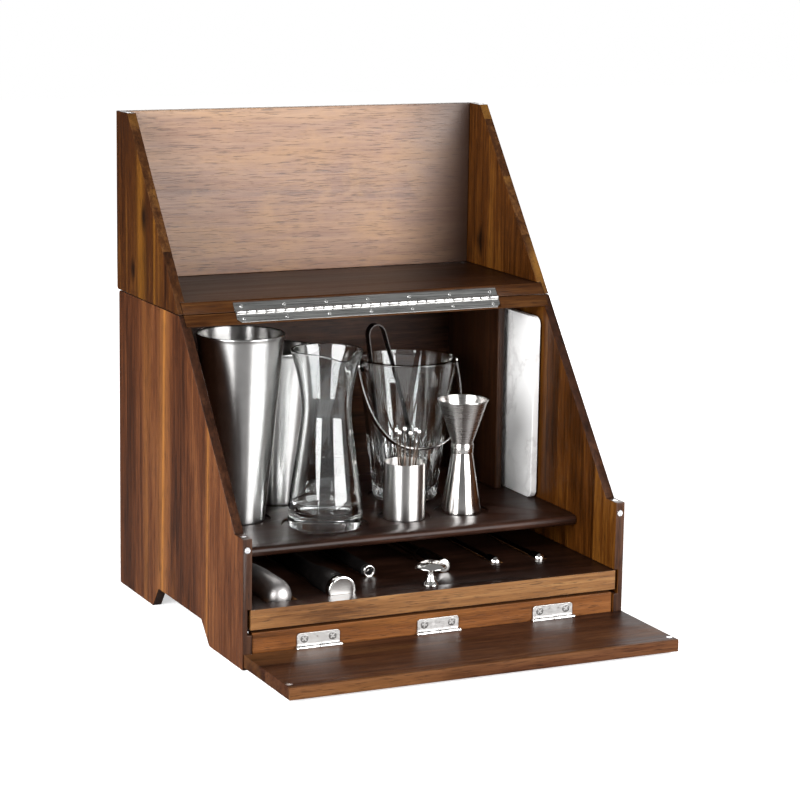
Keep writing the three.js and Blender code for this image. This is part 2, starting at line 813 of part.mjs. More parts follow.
function tray() {
  const board = block([-trayHalfWidth, trayHalfWidth], [0, trayBack], [trayBottom, trayTop]);
  const openerLength = openerHandleLength + openerNeckLength + openerRingWire;
  const openerHalf = openerHandleWidth / 2 + fitGap;
  const openerLow = openerHeight - openerHandleThickness / 2 - fitGap;
  const openerRingLow = openerHeight - openerRingRadius - openerRingWire - fitGap;
  return cutAll(board, [
    toolBed(domedToolX, domedToolHeight, domedToolRadius, domedToolFront, domedToolLength),
    toolBed(muddlerX, muddlerHeight, muddlerRadius, muddlerFront, muddlerLength),
    toolBed(roundToolX, roundToolHeight, roundToolRadius, roundToolFront, roundToolLength),
    ...slimToolXs.map((x, index) => (
      toolBed(x, slimToolHeight, slimToolRadius, slimToolFronts[index], slimToolLength)
    )),
    block(
      [openerX - openerHalf, openerX + openerHalf],
      [openerFront - openerRingWire - fitGap, openerFront + openerLength + fitGap],
      [Math.min(openerLow, openerRingLow), trayTop + overrun],
    ),
    bar(
      knobTenonRadius + fitGap,
      [0, knobDepth, trayTop - knobTenonLength - fitGap],
      [0, knobDepth, trayTop + overrun],
      smallSteps,
    ),
  ]);
}

function knob() {
  const base = trayTop + fitGap;
  const at = (share) => base + share * knobHeight;
  return turned([
    [0, trayTop - knobTenonLength],
    [knobTenonRadius, trayTop - knobTenonLength],
    [knobTenonRadius, base],
    [knobBaseRadius, base],
    [knobBaseRadius, at(knobFootHeightShare)],
    [knobBaseRadius * knobAnkleRadiusShare, at(knobAnkleHeightShare)],
    [knobNeckRadius, at(knobNeckLowShare)],
    [knobNeckRadius, at(knobNeckHighShare)],
    ...sharedProfile(knobHeadShares, knobHeadRadius, base, knobHeight),
    [0, base + knobHeight],
  ], 0, knobDepth, roundSteps);
}

function domedTool() {
  const profile = sharedProfile(domedToolShares, domedToolRadius, domedToolFront, domedToolLength);
  return turnedAlongY(profile, domedToolX, domedToolHeight);
}

function muddlerCap() {
  return turnedAlongY([
    [0, muddlerFront],
    [muddlerRadius - muddlerChamfer, muddlerFront],
    [muddlerRadius, muddlerFront + muddlerChamfer],
    [muddlerRadius, muddlerFront + muddlerCapLength],
    [0, muddlerFront + muddlerCapLength],
  ], muddlerX, muddlerHeight);
}

function muddler() {
  const start = muddlerFront + muddlerCapLength + fitGap;
  const length = muddlerLength - muddlerCapLength - fitGap;
  const profile = sharedProfile(muddlerBodyShares, muddlerRadius, start, length);
  return turnedAlongY([[0, start], ...profile], muddlerX, muddlerHeight);
}

function openerHandle() {
  const start = openerFront + openerRingWire + openerNeckLength;
  const half = openerHandleWidth / 2;
  const low = openerHeight - openerHandleThickness / 2;
  const high = openerHeight + openerHandleThickness / 2;
  const radius = openerHandleThickness * openerHandleCornerShare;
  const corners = [
    [openerX - half, low, radius],
    [openerX + half, low, radius],
    [openerX + half, high, radius],
    [openerX - half, high, radius],
  ];
  const socket = bar(
    openerRingWire + fitGap,
    [openerX, start - overrun, openerHeight],
    [openerX, start + openerTenonLength + fitGap, openerHeight],
    smallSteps,
  );
  return alongY(corners, start, start + openerHandleLength - openerNeckLength).subtract(socket);
}

function openerRing() {
  const ring = new THREE.TorusGeometry(openerRingRadius, openerRingWire, boreSteps, roundSteps);
  ring.rotateX(Math.PI / 2).translate(openerX, openerFront, openerHeight);
  const start = openerFront + openerRingWire + openerNeckLength;
  const neck = bar(
    openerRingWire,
    [openerX, openerFront, openerHeight + openerRingRadius],
    [openerX, start - 2 * openerRingWire, openerHeight],
    smallSteps,
  );
  const tenon = bar(
    openerRingWire,
    [openerX, start - 2 * openerRingWire, openerHeight],
    [openerX, start + openerTenonLength, openerHeight],
    smallSteps,
  );
  return joinAll(solid(ring), [neck, tenon]);
}

function roundTool() {
  const profile = sharedProfile(roundToolShares, roundToolRadius, roundToolFront, roundToolLength);
  return turnedAlongY(profile, roundToolX, roundToolHeight);
}

function slimTool(index) {
  const profile = sharedProfile(slimToolShares, slimToolRadius, slimToolFronts[index], slimToolLength);
  return turnedAlongY(profile, slimToolXs[index], slimToolHeight);
}

// Radius of an outside profile at a height
function radiusAt(profile, height) {
  const next = Math.max(1, profile.findIndex(([, z]) => z >= height));
  const [lowRadius, low] = profile[next - 1];
  const [highRadius, high] = profile[next];
  return lowRadius + (highRadius - lowRadius) * (height - low) / (high - low);
}

// Outside profile completed with an even wall and a floor
function hollow(outside, wall, floorHeight) {
  const above = outside.filter(([, z]) => z > floorHeight + wall / 2);
  const inside = above.map(([radius, z]) => [radius - wall, z]);
  const foot = [radiusAt(outside, floorHeight) - wall, floorHeight];
  return [[0, outside[0][1]], ...outside, ...inside.reverse(), foot, [0, floorHeight]];
}

function tin(x, y, height, baseRadius, rimRadius) {
  const bottom = standingHeight;
  const top = bottom + height;
  const beadBottom = top - tinBeadHeight;
  const outside = [
    [baseRadius - tinFootInset, bottom],
    [baseRadius, bottom + tinFootHeight],
    [rimRadius - tinRimBead, beadBottom],
    [rimRadius, beadBottom + tinRimBead],
    [rimRadius, top - tinRimBead],
    [rimRadius - tinRimBead, top],
  ];
  const lip = rimRadius - tinRimBead - tinWall;
  const foot = [baseRadius - tinWall, bottom + tinFootHeight];
  const floor = [baseRadius - tinFootInset - tinWall, bottom + tinFloor];
  return turned([[0, bottom], ...outside, [lip, top], [lip, beadBottom], foot, floor, [0, floor[1]]], x, y);
}

// Moves the front of the upper wall out and down into a pouring lip
function drawSpout(geometry, bottom) {
  const points = geometry.attributes.position;
  const start = bottom + spoutStartShare * carafeHeight;
  const rise = bottom + carafeHeight - start;
  for (let i = 0; i < points.count; i += 1) {
    const x = points.getX(i);
    const y = points.getY(i);
    const z = points.getZ(i);
    const height = Math.max(0, (z - start) / rise);
    const turn = Math.atan2(x, -y);
    const share = Math.hypot(x, y) > 0 ? height ** 2 * Math.exp(-((turn / spoutSpread) ** 2)) : 0;
    points.setXYZ(i, x, y - spoutReach * share, z - spoutDrop * share);
  }
  return geometry;
}

function carafe() {
  const outside = sharedProfile(carafeShares, carafeBaseRadius, standingHeight, carafeHeight);
  const profile = hollow(outside, carafeWall, standingHeight + carafeFloor);
  const points = profile.map(([radius, height]) => new THREE.Vector2(radius, height));
  const geometry = new THREE.LatheGeometry(points, carafeSteps).rotateX(Math.PI / 2);
  return solid(drawSpout(geometry, standingHeight).translate(carafeX, carafeY, 0));
}

function earHeight() {
  return standingHeight + bucketHeight * earHeightShare;
}

function earEnd() {
  return bucketRimRadius + earProud;
}

function iceBucket() {
  const outside = [
    [bucketBaseRadius * (1 - bucketFootShare), standingHeight],
    [bucketBaseRadius, standingHeight + bucketFootShare * bucketHeight],
    [bucketRimRadius, standingHeight + bucketHeight],
  ];
  const body = turned(hollow(outside, bucketWall, standingHeight + bucketFloor), bucketX, bucketY);
  const z = earHeight();
  const ears = [-1, 1].map((side) => bar(
    earRadius,
    [bucketX + side * (bucketRimRadius - earRootDepth), bucketY, z],
    [bucketX + side * earEnd(), bucketY, z],
    roundSteps,
  ));
  const holes = [-1, 1].map((side) => bar(
    bailPinRadius + fitGap,
    [bucketX + side * (earEnd() - bailPinLength - fitGap), bucketY, z],
    [bucketX + side * (earEnd() + overrun), bucketY, z],
    smallSteps,
  ));
  return cutAll(joinAll(body, ears), holes);
}

// Tilt at which the bottom of the bail hangs just clear of the tapering glass
function bailTilt() {
  const taper = (bucketRimRadius - bucketBaseRadius) / bucketHeight;
  const halfBand = bailWidth / 2;
  const outward = bailDrop + taper * halfBand;
  const inward = taper * bailDrop - halfBand;
  const reach = bucketBaseRadius + taper * (earHeight() - standingHeight) + bailGlassGap;
  return Math.asin(reach / Math.hypot(outward, inward)) - Math.atan2(inward, outward);
}

// Bail: flat half hoop, fuller than a circle, with an inward pin at each eye, hanging in front of the bucket
function bail() {
  const inner = earEnd() + fitGap;
  const outer = inner + bailThickness;
  const full = (value) => Math.sign(value) * Math.abs(value) ** bailRoundness;
  const corners = [];
  for (let step = 0; step <= bailSteps; step += 1) {
    const angle = Math.PI * step / bailSteps;
    corners.push([outer * full(Math.cos(angle)), -(bailDrop + bailThickness) * full(Math.sin(angle))]);
  }
  for (let step = bailSteps; step >= 0; step -= 1) {
    const angle = Math.PI * step / bailSteps;
    corners.push([inner * full(Math.cos(angle)), -bailDrop * full(Math.sin(angle))]);
  }
  const hoop = alongY(corners, -bailWidth / 2, bailWidth / 2);
  const pinStart = earEnd() - bailPinLength;
  const pinEnd = inner + bailThickness / 2;
  const across = (radius, from, to, steps) => (
    [-1, 1].map((side) => bar(radius, [side * from, 0, 0], [side * to, 0, 0], steps))
  );
  const eyes = across(bailEyeRadius, inner, outer, roundSteps);
  const pins = across(bailPinRadius, pinStart, pinEnd, smallSteps);
  const whole = joinAll(hoop, [...eyes, ...pins]);
  return placed(whole, new THREE.Matrix4().makeRotationX(-bailTilt()), [bucketX, bucketY, earHeight()]);
}

// Solid turned by a matrix and moved to a point
function placed(shape, turn, point) {
  const matrix = turn.clone().setPosition(...point);
  return shape.transform(matrix.elements);
}

// Tongs: a strip bent over at the top, its two legs spreading to the knee and then straight
function tongs() {
  const bend = tongsLength * tongsBendShare;
  const knee = tongsLength * tongsKneeShare;
  const side = (halfTop, halfTip, top) => {
    const corners = [[-halfTip, 0], [-halfTip, knee], [-halfTop, bend]];
    for (let step = 1; step < smallSteps; step += 1) {
      const angle = Math.PI * (1 - step / smallSteps);
      corners.push([halfTop * Math.cos(angle), bend + (top - bend) * Math.sin(angle)]);
    }
    corners.push([halfTop, bend], [halfTip, knee], [halfTip, 0]);
    return corners;
  };
  const outer = side(tongsHalfWidth, tongsTipHalfWidth, tongsLength);
  const thinner = (size) => size - tongsThickness;
  const inner = side(thinner(tongsHalfWidth), thinner(tongsTipHalfWidth), thinner(tongsLength));
  const strip = alongY([...outer, ...inner.reverse()], -tongsWidth / 2, tongsWidth / 2);
  const rimReach = bucketRimRadius - bucketWall - tongsRimRoom;
  const lean = Math.atan2(rimReach, bucketHeight - bucketFloor);
  const foot = standingHeight + bucketFloor + fitGap + tongsTipHalfWidth * Math.sin(lean);
  return placed(strip, new THREE.Matrix4().makeRotationY(-lean), [bucketX, bucketY, foot]);
}

function jigger() {
  const bottom = standingHeight;
  const top = bottom + jiggerHeight;
  const low = bottom + jiggerWaistLowShare * jiggerHeight;
  const high = bottom + jiggerWaistHighShare * jiggerHeight;
  const beadBottom = top - jiggerBeadHeight;
  const middle = (low + high) / 2;
  return turned([
    [0, middle - jiggerFloor / 2],
    [jiggerWaistRadius - jiggerWall, low],
    [jiggerBaseRadius - jiggerWall, bottom],
    [jiggerBaseRadius, bottom],
    [jiggerWaistRadius, low],
    [jiggerBandRadius, low + jiggerBandEdge],
    [jiggerBandRadius, high - jiggerBandEdge],
    [jiggerWaistRadius, high],
    [jiggerRimRadius - jiggerRimBead, beadBottom],
    [jiggerRimRadius, beadBottom + jiggerRimBead],
    [jiggerRimRadius, top],
    [jiggerRimRadius - jiggerRimBead - jiggerWall, top],
    [jiggerWaistRadius - jiggerWall, high],
    [0, middle + jiggerFloor / 2],
  ], jiggerX, jiggerY);
}

function pickCup() {
  const outside = [[cupRadius, standingHeight], [cupRadius, standingHeight + cupHeight]];
  return turned(hollow(outside, cupWall, standingHeight + cupFloor), cupX, cupY);
}

// Pick number index of the ring, leaning out from the cup floor, with a drop-shaped head on top
function pick(index) {
  const angle = THREE.MathUtils.degToRad(pickFirstAngle + index * 360 / pickCount);
  const floor = standingHeight + cupFloor + fitGap + pickShaftRadius / 2;
  const at = (radius, z) => [pickRingX + radius * Math.cos(angle), cupY + radius * Math.sin(angle), z];
  const foot = at(pickRingRadius * pickRingShare, floor);
  const head = at(pickRingRadius, pickTop);
  const sphere = new THREE.SphereGeometry(pickHeadRadius, ballSteps, shaftSteps);
  const drop = solid(sphere.rotateX(Math.PI / 2).scale(1, 1, pickHeadStretch).translate(...head));
  return bar(pickShaftRadius, foot, head, shaftSteps).add(drop);
}

const wood = { color: 0x8a5a34, roughness: 0.45, metalness: 0 };
const darkWood = { color: 0x4a2a1c, roughness: 0.35, metalness: 0 };
const steel = { color: 0xb9bbbd, roughness: 0.25, metalness: 1 };
const nickel = { color: 0xe2e2df, roughness: 0.3, metalness: 1 };
const darkSteel = { color: 0x6d6f70, roughness: 0.4, metalness: 1 };
const magnetLook = { color: 0xc9cacb, roughness: 0.3, metalness: 1 };
const glass = { color: 0xdfe8ea, roughness: 0.05, metalness: 0, transparent: true, opacity: 0.35 };
const black = { color: 0x1b1a1a, roughness: 0.5, metalness: 0 };
const white = { color: 0xeeeeea, roughness: 0.3, metalness: 0 };

const barBox = new THREE.Group();
barBox.name = 'bar_box';

function addPiece(name, shape, look) {
  const { vertProperties, triVerts } = shape.getMesh();
  const geometry = new THREE.BufferGeometry();
  geometry.setAttribute('position', new THREE.BufferAttribute(new Float32Array(vertProperties), 3));
  geometry.setIndex(new THREE.BufferAttribute(new Uint32Array(triVerts), 1));
  const piece = new THREE.Mesh(geometry, new THREE.MeshStandardMaterial(look));
  piece.name = name;
  barBox.add(piece);
}

const sideNames = { [-1]: 'left', 1: 'right' };
for (const side of [-1, 1]) {
  addPiece(`side_panel_${sideNames[side]}`, cabinetSide(side), wood);
  addPiece(`lid_side_${sideNames[side]}`, lidSide(side), wood);
  addPiece(`front_magnet_${sideNames[side]}`, magnet(...frontMagnet(side)), magnetLook);
  addPiece(`step_magnet_${sideNames[side]}`, magnet(...stepMagnet(side)), magnetLook);
  addPiece(`lid_magnet_${sideNames[side]}`, magnet(...lidMagnet(side)), magnetLook);
  addPiece(`flap_magnet_${sideNames[side]}`, magnet(...flapMagnet(side)), magnetLook);
}
addPiece('back_panel', backPanel(), wood);
addPiece('roof_board', roofBoard(), wood);
addPiece('shelf', shelf(), darkWood);
addPiece('bottom_board', bottomBoard(), darkWood);
addPiece('front_rail', frontRail(), wood);
addPiece('slot_divider', slotDivider(), darkWood);
addPiece('lid_back', lidBackPanel(), wood);
addPiece('lid_board', lidBoard(), wood);
addPiece('long_hinge_lower_leaf', cutAll(longLeaf(-1, 0), longLeafSeats(-1)), darkSteel);
addPiece('long_hinge_upper_leaf', cutAll(longLeaf(1, 1), longLeafSeats(1)), darkSteel);
addPiece('long_hinge_pin', longPin(), steel);
flapHingeXs().forEach((x, index) => {
  addPiece(`rail_leaf_${index + 1}`, railLeaf(x), nickel);
  addPiece(`flap_leaf_${index + 1}`, flapLeaf(x), nickel);
  addPiece(`flap_hinge_pin_${index + 1}`, flapPin(x), nickel);
});
addPiece('flap_board', flapBoard(), wood);
addPiece('tray', tray(), darkWood);
addPiece('tray_knob', knob(), nickel);
addPiece('domed_tool', domedTool(), steel);
addPiece('muddler', muddler(), black);
addPiece('muddler_cap', muddlerCap(), steel);
addPiece('opener_handle', openerHandle(), black);
addPiece('opener_ring', openerRing(), steel);
addPiece('round_tool', roundTool(), steel);
addPiece('slim_tool_left', slimTool(0), steel);
addPiece('slim_tool_right', slimTool(1), steel);
const largeTin = tin(largeTinX, largeTinY, largeTinHeight, largeTinBaseRadius, largeTinRimRadius);
const smallTin = tin(smallTinX, smallTinY, smallTinHeight, smallTinBaseRadius, smallTinRimRadius);
addPiece('large_tin', largeTin, steel);
addPiece('small_tin', smallTin, steel);
addPiece('carafe', carafe(), glass);
addPiece('ice_bucket', iceBucket(), glass);
addPiece('bucket_bail', bail(), steel);
addPiece('ice_tongs', tongs(), steel);
addPiece('jigger', jigger(), steel);
addPiece('pick_cup', pickCup(), steel);
for (let index = 0; index < pickCount; index += 1) {
  addPiece(`pick_${index + 1}`, pick(index), steel);
}
addPiece('white_board', whiteBoard(), white);

// The frame's origin is the middle of the outer box on the table
barBox.position.y = -(flapFar + lidBack) / 2;

export default barBox;
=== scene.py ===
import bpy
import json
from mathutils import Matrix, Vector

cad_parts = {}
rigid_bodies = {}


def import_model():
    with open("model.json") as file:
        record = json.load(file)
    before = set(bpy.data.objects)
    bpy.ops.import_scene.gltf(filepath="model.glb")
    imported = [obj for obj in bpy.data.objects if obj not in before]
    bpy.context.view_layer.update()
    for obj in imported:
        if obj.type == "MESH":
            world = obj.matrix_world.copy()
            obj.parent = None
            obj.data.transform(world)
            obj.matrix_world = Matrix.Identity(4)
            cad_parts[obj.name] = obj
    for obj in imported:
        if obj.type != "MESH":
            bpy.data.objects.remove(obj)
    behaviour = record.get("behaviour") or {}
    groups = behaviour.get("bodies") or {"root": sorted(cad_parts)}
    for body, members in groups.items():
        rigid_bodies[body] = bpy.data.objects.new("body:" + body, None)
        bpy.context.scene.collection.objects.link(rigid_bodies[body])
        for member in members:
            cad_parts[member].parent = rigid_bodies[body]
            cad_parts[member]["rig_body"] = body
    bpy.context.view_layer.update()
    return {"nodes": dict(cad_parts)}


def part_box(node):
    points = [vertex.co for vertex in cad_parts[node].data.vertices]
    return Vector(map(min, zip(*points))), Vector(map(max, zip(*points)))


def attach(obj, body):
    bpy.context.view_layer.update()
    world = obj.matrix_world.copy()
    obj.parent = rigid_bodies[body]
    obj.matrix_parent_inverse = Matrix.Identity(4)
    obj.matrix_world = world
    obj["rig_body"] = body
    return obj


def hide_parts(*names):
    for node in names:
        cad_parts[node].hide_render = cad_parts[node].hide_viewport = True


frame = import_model()

import json
import math
import random

import bmesh
import bpy
from mathutils import Matrix, Vector

MM = 0.001
nodes = frame["nodes"]
scene = bpy.context.scene

# Camera
AZIMUTH, ELEVATION, ROLL = -25.473, 11.196, 0.911
CAMERA_PLACE = (-1.0867, -2.304946, 0.7258)
FOCAL_PIXELS, FRAME_PIXELS, SENSOR = 2629.35, 800, 36


def make_camera():
    """Camera fitted to the photograph: angles in degrees, its place in metres, the sensor in mm."""
    a, e, r = (math.radians(v) for v in (AZIMUTH, ELEVATION, ROLL))
    back = Vector((math.sin(a) * math.cos(e), -math.cos(a) * math.cos(e), math.sin(e)))
    right = Vector((math.cos(a), math.sin(a), 0))
    up = back.cross(right)
    right, up = right * math.cos(r) + up * math.sin(r), up * math.cos(r) - right * math.sin(r)
    data = bpy.data.cameras.new("camera")
    data.sensor_fit = "HORIZONTAL"
    data.sensor_width = SENSOR
    data.lens = SENSOR * FOCAL_PIXELS / FRAME_PIXELS
    data.clip_start, data.clip_end = 0.05, 50
    camera = bpy.data.objects.new("camera", data)
    scene.collection.objects.link(camera)
    camera.matrix_world = Matrix.Translation(CAMERA_PLACE) @ Matrix((right, up, back)).transposed().to_4x4()
    scene.camera = camera


make_camera()
scene.view_settings.view_transform = "Standard"


# Node helper
class Nodes:
    """Short calls for a shader tree, that of a new material or the one given."""

    def __init__(self, name, tree=None):
        if tree is None:
            self.material = bpy.data.materials.new(name)
            self.material.use_nodes = True
            tree = self.material.node_tree
            self.shader = tree.nodes["Principled BSDF"]
        self.tree = tree

    def add(self, kind, inputs=None, **settings):
        node = self.tree.nodes.new("ShaderNode" + kind)
        for key, value in settings.items():
            setattr(node, key, value)
        for key, value in (inputs or {}).items():
            self.put(node.inputs[key], value)
        return node

    def put(self, socket, value):
        if isinstance(value, bpy.types.NodeSocket):
            self.tree.links.new(value, socket)
        else:
            socket.default_value = value

    def math(self, operation, *values):
        node = self.add("Math", operation=operation)
        for index, value in enumerate(values):
            self.put(node.inputs[index], value)
        return node.outputs[0]

    def nudged(self, base, value, factor, middle=0.0):
        """base + (value - middle) * factor"""
        if middle:
            value = self.math("SUBTRACT", value, middle)
        return self.math("ADD", base, self.math("MULTIPLY", value, factor))

    def place(self):
        """Place in the object's own frame."""
        return self.add("TexCoord").outputs["Object"]

    def length(self, x, y):
        """Length of a flat vector."""
        squares = [self.math("MULTIPLY", side, side) for side in (x, y)]
        return self.math("SQRT", self.math("ADD", *squares))

    def mix(self, share, first, second):
        """Two colours mixed: sockets 6 and 7 take the colours, output 2 gives one."""
        node = self.add("Mix", {0: share, 6: first, 7: second}, data_type="RGBA")
        return node.outputs[2]

    def ramp(self, value, stops):
        node = self.add("ValToRGB", {"Fac": value})
        elements = node.color_ramp.elements
        while len(elements) < len(stops):
            elements.new(0.5)
        for element, (place, colour) in zip(elements, stops):
            element.position = place
            element.color = (*colour[:3], 1)
        return node.outputs["Color"]

    def span(self, value, low, high, to_low=0.0, to_high=1.0):
        """value mapped from low and high to to_low and to_high, clamped."""
        inputs = dict(enumerate((value, low, high, to_low, to_high)))
        return self.add("MapRange", inputs, clamp=True).outputs[0]

    def noise(self, vector, scale, detail, rough, distortion=0.0):
        node = self.add("TexNoise", {"Vector": vector, "Scale": scale, "Detail": detail, "Roughness": rough,
                                     "Distortion": distortion})
        return node.outputs["Fac"]

    def set(self, **values):
        """Sockets of the shader by name, with _ for a space."""
        for key, value in values.items():
            self.put(self.shader.inputs[key.replace("_", " ")], value)

    def bump(self, height, strength, distance):
        node = self.add("Bump", {"Height": height, "Strength": strength, "Distance": distance})
        self.put(self.shader.inputs["Normal"], node.outputs[0])


def shade(colour, factor):
    """Colour times one factor or three, none over 1, with alpha."""
    factors = factor if isinstance(factor, tuple) else (factor,) * 3
    return (*[min(1, c * k) for c, k in zip(colour, factors)], 1)


# Wood
# Brightness of the wood against its palette
WOOD_LEVEL = 0.42
# Knots: push on the grain as a share of their radius; pull and core are drawn out along the grain
KNOT_PUSH, KNOT_STRETCH, KNOT_CORE_STRETCH = 0.7, 0.45, 0.5
# Shift of a plank in the noise across the grain, and its share along the grain
PLANK_SHIFT, PLANK_DRIFT = 7.3, 1.7
# Growth rings: radians per metre and bend by the broad noise
RING_RATE, RING_BEND = 620, 0.06
# Noise layers: scale across and along the grain, detail, roughness, distortion
GRAIN = {
    "broad": (15, 4.0, 3, 0.6, 0.8),
    "streak": (75, 3.2, 5, 0.68, 0.4),
    "hair": (170, 4.5, 4, 0.7, 0.2),
    "fine": (420, 11, 4, 0.75, 0.0),
    "pores": (1100, 60, 2, 0.5, 0.0),
    "sapwood": (19, 1.6, 2, 0.5, 0.3),
}
# Weight of each part of the tone
BROAD, STREAK, RINGS, PLANK, HAIR, FINE = 0.6, 0.5, 0.03, 0.16, 0.45, 0.65


def wood(name, axes, palette, plank, seed, sap, spec, gloss=0.34, contrast=1.0, relief=0.25,
         blotch=0.0, heart=None, knots=(), stripes=()):
    """Oiled acacia. axes names that of the grain and that of the plank widths.

    knots are (across, along, radius), stripes are (across, drift, half width, strength) with a
    negative strength for a dark one, all in metres of the row frame. blotch mixes in wide cloudy
    patches of pale wood. heart is (from, to, share) of darker wood and painted
    shade at one end of the grain, where a side board's shadow falls."""
    dark, middle, pale = ([c * WOOD_LEVEL for c in tone] for tone in palette)
    gold = shade(pale, (2.1, 2.3, 1.5))
    n = Nodes(name)
    place = n.place()
    parts = n.add("SeparateXYZ", {"Vector": place}).outputs
    along, across = axes
    third = "XYZ".replace(along, "").replace(across, "")
    a, g, b = parts[across], parts[along], parts[third]

    def from_knot(value, knot, stretch):
        """Offset across the grain and distance from a knot's centre."""
        offset = n.math("SUBTRACT", value, knot[0])
        level = n.math("MULTIPLY", n.math("SUBTRACT", g, knot[1]), stretch)
        return offset, n.length(offset, level)

    # Knots push the grain aside
    bent = a
    for knot in knots:
        radius = knot[2]
        offset, reach = from_knot(bent, knot, KNOT_STRETCH)
        push = n.math("EXPONENT", n.math("MULTIPLY", reach, -1 / radius))
        bent = n.nudged(bent, n.math("SIGN", offset), n.math("MULTIPLY", push, radius * KNOT_PUSH))
    # Each plank has its own place in the noise
    cell = n.math("FLOOR", n.math("ADD", n.math("DIVIDE", bent, plank), seed))
    pick = n.add("TexWhiteNoise", {"W": n.math("ADD", cell, seed * 3.7)}, noise_dimensions="1D")
    plank_value = pick.outputs["Value"]
    shift = n.math("MULTIPLY", plank_value, PLANK_SHIFT)
    sa = n.math("ADD", bent, shift)
    sg = n.nudged(g, shift, PLANK_DRIFT)

    def layer(kind):
        scale_across, scale_along, detail, rough, distortion = GRAIN[kind]
        vector = n.add("CombineXYZ", {"X": n.math("MULTIPLY", sa, scale_across),
                                      "Y": n.math("MULTIPLY", sg, scale_along),
                                      "Z": n.math("MULTIPLY", b, scale_across)})
        return n.noise(vector.outputs[0], 1.0, detail, rough, distortion)

    broad, streak, fine = layer("broad"), layer("streak"), layer("fine")

    def near_stripe(centre, drift, half, wander):
        """1 on a stripe, falling to 0 beside it; the stripe wanders with the streaks."""
        line = n.nudged(n.math("SUBTRACT", a, centre), g, drift)
        line = n.nudged(line, streak, half * wander, 0.5)
        square = n.math("MULTIPLY", line, line)
        return n.math("EXPONENT", n.math("MULTIPLY", square, -1 / half ** 2))

    rings = n.math("SINE", n.math("MULTIPLY", n.nudged(sa, broad, RING_BEND), RING_RATE))
    tone = n.nudged(n.math("MULTIPLY", broad, BROAD), streak, STREAK)
    tone = n.nudged(tone, rings, RINGS)
    for value, weight in ((plank_value, PLANK), (layer("hair"), HAIR), (fine, FINE)):
        tone = n.nudged(tone, value, weight, 0.5)
    tone = n.nudged(0.5, tone, 1.7 * contrast, 0.55)
    for centre, drift, half, strength in stripes:
        if strength < 0:
            tone = n.nudged(tone, near_stripe(centre, drift, half, 1.2), strength)
    colour = n.ramp(tone, [(0.0, shade(dark, 0.36)), (0.24, dark), (0.52, middle), (0.82, pale),
                           (1.0, shade(pale, 1.25))])
    golden = n.math("MULTIPLY", n.span(layer("sapwood"), 0.6, 0.72), sap)
    colour = n.mix(golden, colour, gold)
    if blotch:
        wide = n.add("Mapping", {"Vector": place, "Scale": (16, 16, 26), "Location": (seed, 0, seed)})
        cloud = n.nudged(n.noise(wide.outputs[0], 1.0, 5, 0.66, 0.6), streak, 0.25, 0.5)
        share = n.math("MULTIPLY", n.span(cloud, 0.46, 0.66), blotch)
        colour = n.mix(share, colour, shade(pale, (1.12, 1.08, 0.8)))
    for centre, drift, half, strength in stripes:
        if strength > 0:
            near = near_stripe(centre, drift, half, 0.8)
            colour = n.mix(n.math("MULTIPLY", near, strength), colour, gold)
    # Pores, darker wood with painted shade at one end of the grain, and the dark cores of the knots
    dots = n.span(layer("pores"), 0.57, 0.66)
    colour = n.mix(n.math("MULTIPLY", dots, 0.6), colour, shade(dark, 0.35))
    # Darker wood at one end of the grain, which is also painted shade where a side board's shadow falls
    if heart:
        start, end, share = heart
        colour = n.mix(n.span(g, start, end, 0.0, share), colour, shade(dark, 0.3))
    for knot in knots:
        radius = knot[2]
        reach = n.nudged(from_knot(a, knot, KNOT_CORE_STRETCH)[1], streak, radius * 1.6, 0.5)
        core = n.span(reach, radius * 0.35, radius * 1.3, 0.9, 0.0)
        colour = n.mix(core, colour, shade(dark, 0.2))
    n.set(Base_Color=colour, Roughness=n.span(streak, 0.3, 0.7, gloss - 0.04, gloss + 0.08),
          Specular_IOR_Level=spec)
    n.bump(n.nudged(n.math("MULTIPLY", dots, -0.6), fine, 0.5), relief, 0.0004)
    return n.material


# Palettes: dark, middle and pale wood
SIDE = ((0.095, 0.026, 0.007), (0.185, 0.056, 0.017), (0.31, 0.112, 0.036))
LID = ((0.045, 0.012, 0.002), (0.105, 0.03, 0.0045), (0.2, 0.072, 0.011))
# Brighter copy of the lid wood: painted light on the lid's right board and on the cabinet's right inner face
LID_LIT = ((0.062, 0.018, 0.0024), (0.145, 0.044, 0.0065), (0.27, 0.1, 0.015))
BACK = ((0.226, 0.1, 0.055), (0.357, 0.173, 0.097), (0.48, 0.26, 0.145))
INNER = ((0.03, 0.01, 0.004), (0.058, 0.02, 0.0085), (0.11, 0.042, 0.017))
EDGE = ((0.05, 0.016, 0.004), (0.09, 0.032, 0.009), (0.18, 0.075, 0.022))
DARK = ((0.024, 0.009, 0.005), (0.055, 0.021, 0.012), (0.095, 0.038, 0.022))
RAIL = ((0.23, 0.078, 0.02), (0.34, 0.122, 0.034), (0.46, 0.185, 0.058))
GOLD = ((0.2, 0.08, 0.024), (0.34, 0.15, 0.05), (0.5, 0.25, 0.09))
FLAP = ((0.06, 0.019, 0.008), (0.118, 0.042, 0.018), (0.19, 0.076, 0.032))

SIDE_STRIPES = ((0.0985, 0.03, 0.0028, 0.95), (0.099, 0.03, 0.012, 0.25), (-0.0245, 0.02, 0.0022, 0.6),
                (0.052, 0, 0.02, -0.16), (0.19, 0, 0.022, -0.35), (0.128, 0, 0.01, -0.15),
                (-0.075, 0, 0.02, -0.1))
LID_STRIPES = ((0.158, 0.0, 0.009, 0.5), (0.118, 0.0, 0.0025, 0.6), (0.2, 0, 0.02, -0.2))
LID_KNOTS = ((0.1488, 0.3932, 0.008), (0.1804, 0.3366, 0.006))
LID_RIGHT_KNOTS = ((0.189, 0.3476, 0.008),)
